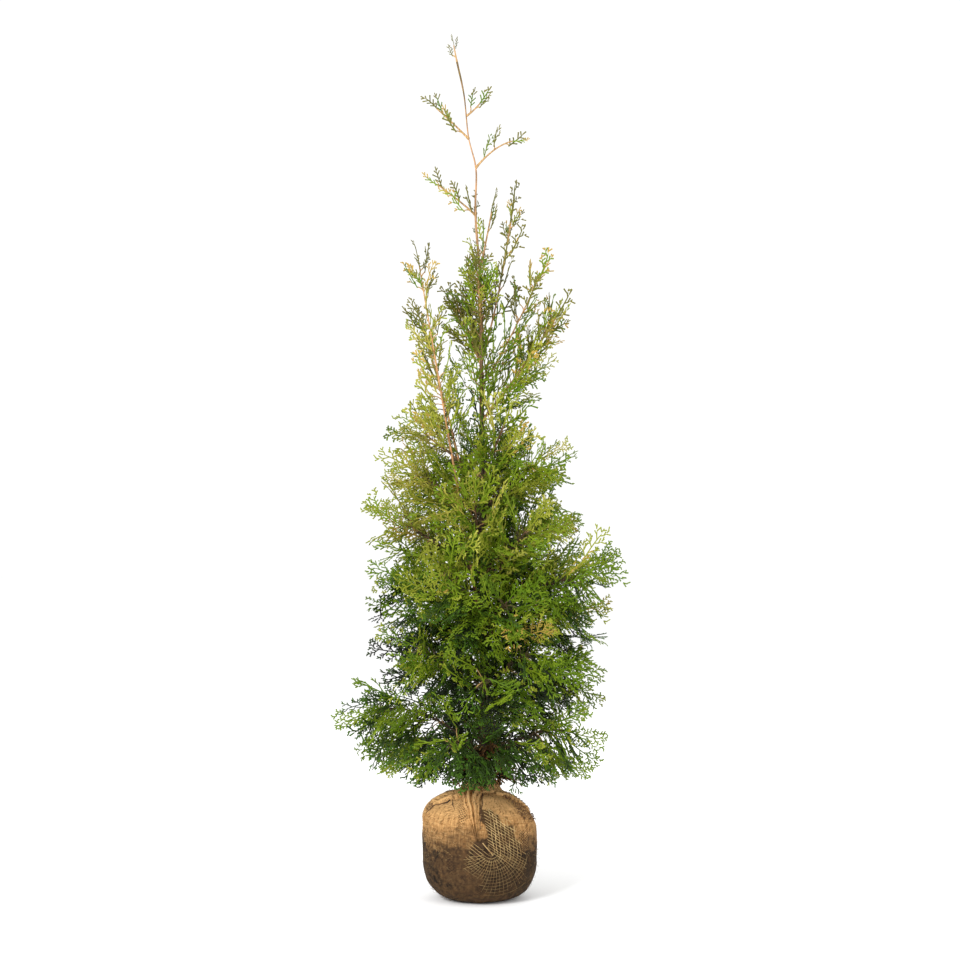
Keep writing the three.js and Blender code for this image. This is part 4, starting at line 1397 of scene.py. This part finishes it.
weave = {
    "pitch": 0.0021, "warp": 0.0012, "gapPitch": 2.6,
    "stainHeight": 0.1465, "stainSoft": 0.048, "stainWander": 0.05, "sideDark": 0.066, "topFrom": 0.165,
    "colours": {
        # top is painted light on the threads of the cloth's top, against the shade of the crown above
        "thread": (214, 168, 110), "darkThread": (162, 118, 70), "fleck": (108, 76, 44), "top": (248, 202, 138),
        "hole": (84, 60, 36), "soil": (28, 21, 15), "soilGrain": (78, 58, 40), "stain": (53, 38, 25),
        "darkStain": (22, 18, 14), "gap": (44, 31, 21),
    },
}


def burlapMaterial():
    material, nodes = newMaterial("burlap", Roughness=0.95, SpecularIORLevel=0.15)
    paint = {name: linear(*colour) for name, colour in weave["colours"].items()}
    cloth = nodes.result("ShaderNodeUVMap", {"uv_map": "cloth"})
    shift = (nodes.grain(38.0, 2.0) - 0.5) * weave["warp"] * 8
    u = (nodes.part(cloth, 0) + shift) / weave["pitch"]
    v = (nodes.part(cloth, 1) - shift) / weave["pitch"]
    streaks = lambda x, y: nodes.grain(1.0, 2.0, nodes.result("ShaderNodeCombineXYZ", in_0=x, in_1=y))
    # threads go over and under one another and differ in colour along the cloth
    warpThread, weftThread = (1 - (way.fromMiddle() * 2).math("POWER", 2.0) for way in (u, v))
    over = (u.math("FLOOR") + v.math("FLOOR")).math("MODULO", 2.0).math("ABSOLUTE") * 2 - 1
    lift = (warpThread * (1 + over * 0.4)).math("MAXIMUM", weftThread * (1 - over * 0.4))
    solid = warpThread.math("MAXIMUM", weftThread)
    streak = ((streaks(u * 0.9, v * 0.04) + streaks(u * 0.04, v * 0.9) - 0.72) * 2.4).held()
    colour = nodes.blend(streak, paint["thread"], paint["darkThread"])
    colour = nodes.blend((1 - solid * 1.25).held(), colour, paint["hole"])
    height, sideways = nodes.part(nodes.place(), 2), nodes.part(nodes.place(), 0).math("ABSOLUTE")
    # painted light: the threads on the cloth's top are lightened against the shade that the crown casts on them
    paintedTopLight = ((height - weave["topFrom"]) / 0.06).held() * 0.75
    colour = nodes.blend(paintedTopLight * solid.held(), colour, paint["top"])
    # short dark flecks where the weave is loose
    flecks = streaks((u + v) * 0.34, (v - u) * 0.13)
    colour = nodes.blend(((flecks - 0.54) * 8.0).held() * 0.8, colour, paint["fleck"])
    # damp soil has stained the lower half; the stain is darker in patches at random, darker towards the bottom,
    # and darker towards both sides as painted shade
    big, fine = nodes.grain(13.0, 6.0, roughness=0.62), nodes.grain(110.0, 5.0, roughness=0.65)
    wide = nodes.grain(30.0, 4.0, roughness=0.6)
    edge = (weave["stainHeight"] - height + (big - 0.5) * weave["stainWander"] * 2.2
            + (fine - 0.5) * weave["stainWander"] * 1.1)
    stained = (edge / weave["stainSoft"] + 0.3).held()
    # the dark end of the stain: patches at random, darker towards the bottom, and painted shade towards both
    # sides
    dark = ((wide - 0.5) * 3.4 + (fine - 0.5) * 1.8 + (sideways - weave["sideDark"]) * 22.0
            + (0.05 - height) * 5.0 + 0.5).held()
    stain = nodes.blend(dark, paint["stain"], paint["darkStain"])
    colour = nodes.blend((stained * (0.66 + fine * 0.5)).held(), colour, stain)
    # where the weave is loosened, small gaps open between slanting threads
    rising, falling = (v + u * 0.6) / weave["gapPitch"], (v - u * 0.75) / weave["gapPitch"]
    gap = rising.fromMiddle().math("MINIMUM", falling.fromMiddle()) * 2
    gap = ((gap - 0.36) * 5.0).held() * nodes.mask("loose")
    colour = nodes.blend(gap * 0.9, colour, paint["gap"])
    soil = nodes.blend(((fine - 0.4) * 4).held(), paint["soil"], paint["soilGrain"])
    colour = nodes.blend((nodes.mask("open") * 1.3 - 0.15).held() * 0.9, colour, soil)
    nodes.finish(colour, lift * 0.0006 + fine * 0.0011, 0.8, 1.0)
    return material


burlap = burlapMaterial()
ballPiece = makeBall()
ballPiece.data.materials.append(burlap)
settle(ballPiece, "burlap", "root_ball")
print("ball made", faceCount(ballPiece.data), "faces")


# The net of loose threads over the openings

ballTree = BVHTree.FromPolygons([v.co for v in ballPiece.data.vertices],
                                [tuple(p.vertices) for p in ballPiece.data.polygons])


def onBall(x, z, turn, mirror, lift):
    # drops a point seen from the turned eye onto the ball
    turnBack = Matrix.Rotation(math.radians(turn), 3, "Z")
    eye = turnBack @ Vector(studio["eye"])
    target = turnBack @ Vector((x * mirror * mm, 0, z * mm))
    hit, normal, _, _ = ballTree.ray_cast(eye, (target - eye).normalized())
    if hit is None or hit.z < 0.004:
        return None
    return hit + normal * lift * mm


def trimmed(line, outline, slack):
    # the longest part of a line that lies inside the outline
    line = np.array(line)
    best, run = [], []
    for point, isIn in zip(line, outlineDistance(line, outline) > slack):
        run = run + [point] if isIn else []
        if len(run) > len(best):
            best = run
    return best


def netCourses():
    # the threads' courses seen from the front, each with its layer: arcs round the centre with an arm up
    # and a slant to the left, slanting threads across the arm, and rays from the centre
    cx, cz = netWindow["centre"]
    tx, tz = netWindow["armTop"]
    spacing = netWindow["spacing"]
    courses = []
    for k in range(1, netWindow["arcs"] + 1):
        d = k * spacing
        wobble = lambda s: 0.8 * math.sin(s * 0.11 + k * 1.7)
        arm = [(cx + d + (tx - cx) * t + wobble(t * 90), lerp(cz, tz, t)) for t in np.linspace(1, 0, 34)]
        arc = [(cx + d * math.cos(a) + wobble(a * 40), cz + d * math.sin(a) * 0.92)
               for a in np.radians(np.linspace(0, -132, max(8, int(d / 1.6))))]
        end, way = np.array(arc[-1]), np.array([-0.78, 0.62])
        courses.append((arm + arc[1:] + [tuple(end + way * s) for s in np.linspace(3, 62, 20)], 0))
    for k in range(netWindow["slants"]):
        z = cz + 4 + k * spacing * 0.92
        x = cx + (tx - cx) * (z - cz) / (tz - cz) - 4
        slant = [(x + r, z - 0.62 * r + 0.9 * math.sin(r * 0.1 + k)) for r in np.linspace(0, 110, 40)]
        courses.append((slant, 1))
    for k in range(netWindow["rays"]):
        first = math.radians(-4 - k * 6.2)
        courses.append(([(cx + r * math.cos(first - r * 0.004), cz + r * math.sin(first - r * 0.004) * 0.95)
                         for r in np.linspace(16 if k % 2 else 36, 100, 36)], 1))
    return courses


def netLines():
    lines = []
    for turn, mirror in netWindow["views"]:
        for course, layer in netCourses():
            kept = trimmed(course, netWindow["outline"], -4.0 + 4.5 * math.sin(len(lines) * 2.3))
            lift = netWindow["lift"] + netWindow["layerLift"] * layer
            over = [onBall(x, z, turn, mirror, lift) for x, z in kept]
            over = [p for p in over if p is not None]
            if len(kept) < 4 or len(over) < 4:
                continue
            thickness = netWindow["strand"] * (0.8 + 0.45 * chance(7, len(lines), 1))
            radii = [thickness * mm * (0.85 + 0.3 * math.sin(i * 0.9 + len(lines))) for i in range(len(over))]
            lines.append((over, radii))
    (x1, z1), (x2, z2), lift, radius = netWindow["straw"]
    straw = [onBall(x, z, 0, 1, lift) for x, z in zip(np.linspace(x1, x2, 7), np.linspace(z1, z2, 7))]
    lines.append((straw, [radius * mm] * len(straw)))
    return lines


def juteMaterial():
    material, nodes = newMaterial("juteThread", Roughness=0.9, SpecularIORLevel=0.2)
    grain = nodes.grain(70.0, 4.0)
    lowness = ((0.122 - nodes.part(nodes.place(), 2) + (grain - 0.5) * 0.1) / 0.06).held()
    clean = nodes.blend(((grain - 0.35) * 3.2).held(), linear(148, 118, 76), linear(200, 172, 118))
    nodes.finish(nodes.blend(lowness * 0.85, clean, linear(84, 65, 43)), nodes.grain(900.0, 2.0), 0.5, 0.0004)
    return material


jute = juteMaterial()
linesPiece("jute_net", "burlap", netLines(), jute, 5, shadeSmooth=True)


# The gathered cloth at the neck, its tail and its folds

collar = {
    "radius": 36.0, "leftward": 12.0, "height": 21.0, "base": 213.0, "around": 240, "steps": 52,
    "pleats": ((6, 0.0, 1.0), (13, 1.1, 0.8), (21, 2.0, 0.55)), "pleatDepth": 3.0, "crumple": 1.3,
    "rim": ((3, 0.8, 0.2), (7, 2, 0.16), (19, 0, 0.09)), "clothRadius": 60, "clothHeight": 70,
    # reach and height, up the outside, over the lip and down beside the trunk
    "profile": ((1.06, 0.0), (1.0, 0.12), (0.93, 0.3), (0.84, 0.5), (0.78, 0.7), (0.76, 0.86), (0.75, 0.97),
                (0.72, 1.0), (0.68, 0.99), (0.64, 0.92), (0.61, 0.78), (0.6, 0.6), (0.6, 0.3), (0.6, 0.05)),
}
foldShape = {"along": 90, "across": 44, "ballRadius": 105.0, "crumple": 1.3, "depth": 3.0, "edgeDrop": 2.2}
folds = [
    {"name": "burlap_tail", "nodes": ["cloth_tail"], "widths": (42, 34, 26, 7), "thickness": (14, 13, 11, 5),
     "path": ((245, 0.0), (254, 0.1), (261.5, 0.22), (267.5, 0.44)), "pleats": 3.1, "edge": 2.6},
    {"name": "burlap_fold", "nodes": ["cloth_fold"], "widths": (22, 24, 22, 14), "thickness": (9, 12, 12, 6),
     "path": ((232, 0.03), (226, 0.09), (212, 0.17), (196, 0.25)), "pleats": 1.0, "edge": 2.6},
    {"name": "burlap_hem", "nodes": [], "widths": (14, 13, 12, 9), "thickness": (4.5, 6, 6, 3),
     "path": ((318, 0.03), (334, 0.08), (345, 0.15), (354, 0.26)), "pleats": 1.0, "edge": 3.6},
]


def makeCollar():
    centre = trunkLine.point(0)
    count = collar["around"]
    turns = np.arange(count) / count * math.tau
    pleat = sum(a * np.cos(k * turns + p) for k, p, a in collar["pleats"]) / 1.6
    rim = 0.8 + sum(a * np.cos(k * turns + p) for k, p, a in collar["rim"])
    steps = np.linspace(0, 1, collar["steps"])
    knots = np.linspace(0, 1, len(collar["profile"]))
    reaches, lifts = (np.interp(steps, knots, part) for part in zip(*collar["profile"]))
    rows = []
    for reach, lift in zip(reaches, lifts):
        outer = smooth(0.6, 0.8, reach)
        radius = collar["radius"] * reach + collar["pleatDepth"] * pleat * outer * (0.5 + 0.5 * lift)
        radius = radius + collar["leftward"] * outer * np.maximum(0, -np.cos(turns))
        z = collar["base"] + collar["height"] * lift * np.where(lift > 0.3, rim, 1)
        rows.append(np.stack([centre[0] + np.cos(turns) * radius, centre[1] + np.sin(turns) * radius,
                              np.broadcast_to(z, (count,))], axis=1))
    points = np.concatenate(rows)
    outward = (points - centre) * (1, 1, 0)
    outward /= np.linalg.norm(outward, axis=1)[:, None]
    keep = smooth(0.62, 0.8, np.repeat(reaches, count))
    points = points + outward * (roughness(points * mm, 0.011, 5.0, 3) * collar["crumple"] * keep)[:, None]
    obj = meshPiece("burlap_collar", points * mm, gridFaces(len(rows), count, ring=True))
    uv = np.stack([np.tile(turns * collar["clothRadius"], len(rows)),
                   np.repeat(np.linspace(0, collar["clothHeight"], len(rows)), count)], axis=1)
    addUv(obj, uv * mm, collar["clothRadius"] * math.tau * mm)
    return obj


def makeFold(fold):
    n, m = foldShape["along"] + 1, foldShape["across"] + 1
    t = np.linspace(0, 1, n)
    knots = np.linspace(0, 1, len(fold["path"]))
    turns, shares = zip(*fold["path"])
    turn = np.radians(np.interp(t, knots, turns))
    for _ in range(6):  # rounds the corners of the path
        turn[1:-1] = (turn[:-2] + turn[2:]) / 2 * 0.5 + turn[1:-1] * 0.5
    share, width, height = (np.interp(t, knots, values)
                            for values in (shares, fold["widths"], fold["thickness"]))
    centre, over = ballSurface(turn, share), ballNormal(turn, share)
    across = np.cross(over, np.gradient(centre, axis=0))
    across /= np.linalg.norm(across, axis=1)[:, None]
    length = np.linalg.norm(np.diff(centre, axis=0), axis=1).sum()
    close = np.sqrt(np.clip(1 - np.abs(2 * t - 1) ** 10, 0, 1))
    s = np.linspace(-1, 1, m)
    aside = np.abs(s)
    rows, uvRows = [], []
    for i in range(n):
        rag = [fold["edge"] * noise.noise(Vector((t[i] * 14, side * 3.3, turns[0]))) for side in (-1, 1)]
        x = s * (width[i] / 2 * max(close[i], 0.12)) + np.where(s < 0, rag[0] * aside, rag[1] * aside)
        pleat = 0.66 + 0.34 * np.cos(s * math.pi * fold["pleats"] + 2.2 * math.sin(t[i] * 3.1) + 0.8)
        rise = height[i] * close[i] * (1 - aside ** 3.2) ** 0.6 * pleat
        rise = rise - foldShape["edgeDrop"] * (aside > 0.999)
        # the sides of a wide fold follow the ball round
        fall = x ** 2 / (2 * foldShape["ballRadius"])
        rows.append(centre[i] + across[i] * x[:, None] + over[i] * (rise - fall)[:, None])
        uvRows.append(np.stack([x * 1.6, np.full(m, t[i] * length)], axis=1))
    top = np.concatenate(rows)
    overAll = over.repeat(m, axis=0)
    crumple = roughness(top * mm, 0.013, 8.0 + turns[0], 3)
    top = top + overAll * (crumple * foldShape["crumple"] * np.tile(1 - aside ** 6, n))[:, None]
    depth = foldShape["depth"] + np.outer(height * close, 1 - aside ** 3).ravel()
    points = np.vstack([top, top - overAll * depth[:, None]])
    under = n * m
    faces = gridFaces(n, m, closed=False) + gridFaces(n, m, under, closed=False, flip=True)
    for i in range(n - 1):
        a, b = i * m, i * m + m - 1
        faces += [(a, a + m, under + a + m, under + a), (b, under + b, under + b + m, b + m)]
    for a in range(m - 1):
        b = (n - 1) * m + a
        faces += [(a, under + a, under + a + 1, a + 1), (b, b + 1, under + b + 1, under + b)]
    obj = meshPiece(fold["name"], points * mm, faces)
    addUv(obj, np.vstack([np.concatenate(uvRows)] * 2) * mm)
    return obj


for obj, nodes in ((makeCollar(), ["cloth_collar"]), *((makeFold(fold), fold["nodes"]) for fold in folds)):
    obj.data.materials.append(burlap)
    settle(obj, "burlap", *nodes)
print("folds made")


# Loose jute hairs, and dark lines of painted shadow in the creases under the left fold and beside the tail

hairBands = {
    "jute_hairs": [{"count": 900, "turns": (0, 360), "shares": (0.02, 0.9), "lengths": (4, 10),
                    "thickness": 0.2, "stands": (0.05, 0.4), "seed": 12}],
    "frayed_hem": [{"count": 240, "turns": (322, 362), "shares": (0.07, 0.3), "lengths": (3, 7),
                    "thickness": 0.55, "stands": (0.2, 0.6), "seed": 13},
                   {"count": 60, "turns": (193, 204), "shares": (0.18, 0.3), "lengths": (3, 6),
                    "thickness": 0.5, "stands": (0.2, 0.5), "seed": 14}],
}
hairTaper = np.array([1.0, 0.95, 0.8, 0.5])
# the dark lines of painted shadow: their points seen from the front, and a radius for each
creaseShadows = (
    (((-34, 216), (-46, 208), (-54, 200), (-66, 188), (-78, 186), (-88, 184), (-98, 178), (-106, 168)),
     (0.5, 1.0, 1.7, 2.0, 0.9, 0.8, 1.5, 0.6)),
    (((4, 214), (5, 200), (3.5, 182), (2, 164), (1, 148), (-1, 132)), (0.9, 1.1, 0.9, 1.0, 0.7, 0.4)),
    (((-56, 198), (-54, 186), (-52, 174)), (0.6, 1.0, 0.4)),
)


def hairsOn(band):
    draw = np.random.RandomState(band["seed"])
    lines = []
    while len(lines) < band["count"]:
        turn = np.array(math.radians(draw.uniform(*band["turns"])))
        share = np.array(draw.uniform(*band["shares"]))
        normal = ballNormal(turn, share)
        side = unit(np.cross(normal, up + draw.uniform(-1, 1, 3)))
        length = draw.uniform(*band["lengths"])
        stand = draw.uniform(*band["stands"])
        start = ballSurface(turn, share) - normal * 1.2
        line = [start] + [start + side * length * t + normal * (1.6 + stand * length * math.sin(t * 2.6))
                          for t in (0.35, 0.7, 1.0)]
        if min(p[2] for p in line) >= 1.5:
            lines.append(([p * mm for p in line], hairTaper * band["thickness"] * mm))
    return lines


# dark tubes laid on the ball that paint the shadow in the creases
def creaseShadowLines():
    lines = []
    for points, radii in creaseShadows:
        knots = np.arange(len(points))
        steps = np.linspace(0, len(points) - 1, 5 * len(points))
        x, z, radius = (np.interp(steps, knots, values) for values in (*zip(*points), radii))
        x, z = x + 0.9 * np.sin(steps * 4.3), z + 0.9 * np.cos(steps * 3.7)
        laid = [(onBall(a, b, 0, 1, 0.2), r * mm) for a, b, r in zip(x, z, radius)]
        lines.append(tuple(zip(*[(p, r) for p, r in laid if p is not None])))
    return lines


frayPaint = grainedMaterial("frayedEdge", (78, 54, 34), (132, 98, 62))
# the dark paint of the painted crease shadows
creaseShadowPaint = grainedMaterial("clothCrease", (46, 30, 18), (84, 56, 34))
for name, paint, sides in (("jute_hairs", jute, 3), ("frayed_hem", frayPaint, 4)):
    linesPiece(name, "burlap", sum(map(hairsOn, hairBands[name]), []), paint, sides)
linesPiece("cloth_creases", "burlap", creaseShadowLines(), creaseShadowPaint, 6)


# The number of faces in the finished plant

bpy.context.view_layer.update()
print("faces in all:", sum(faceCount(o.data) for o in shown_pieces() if o.type == "MESH"))
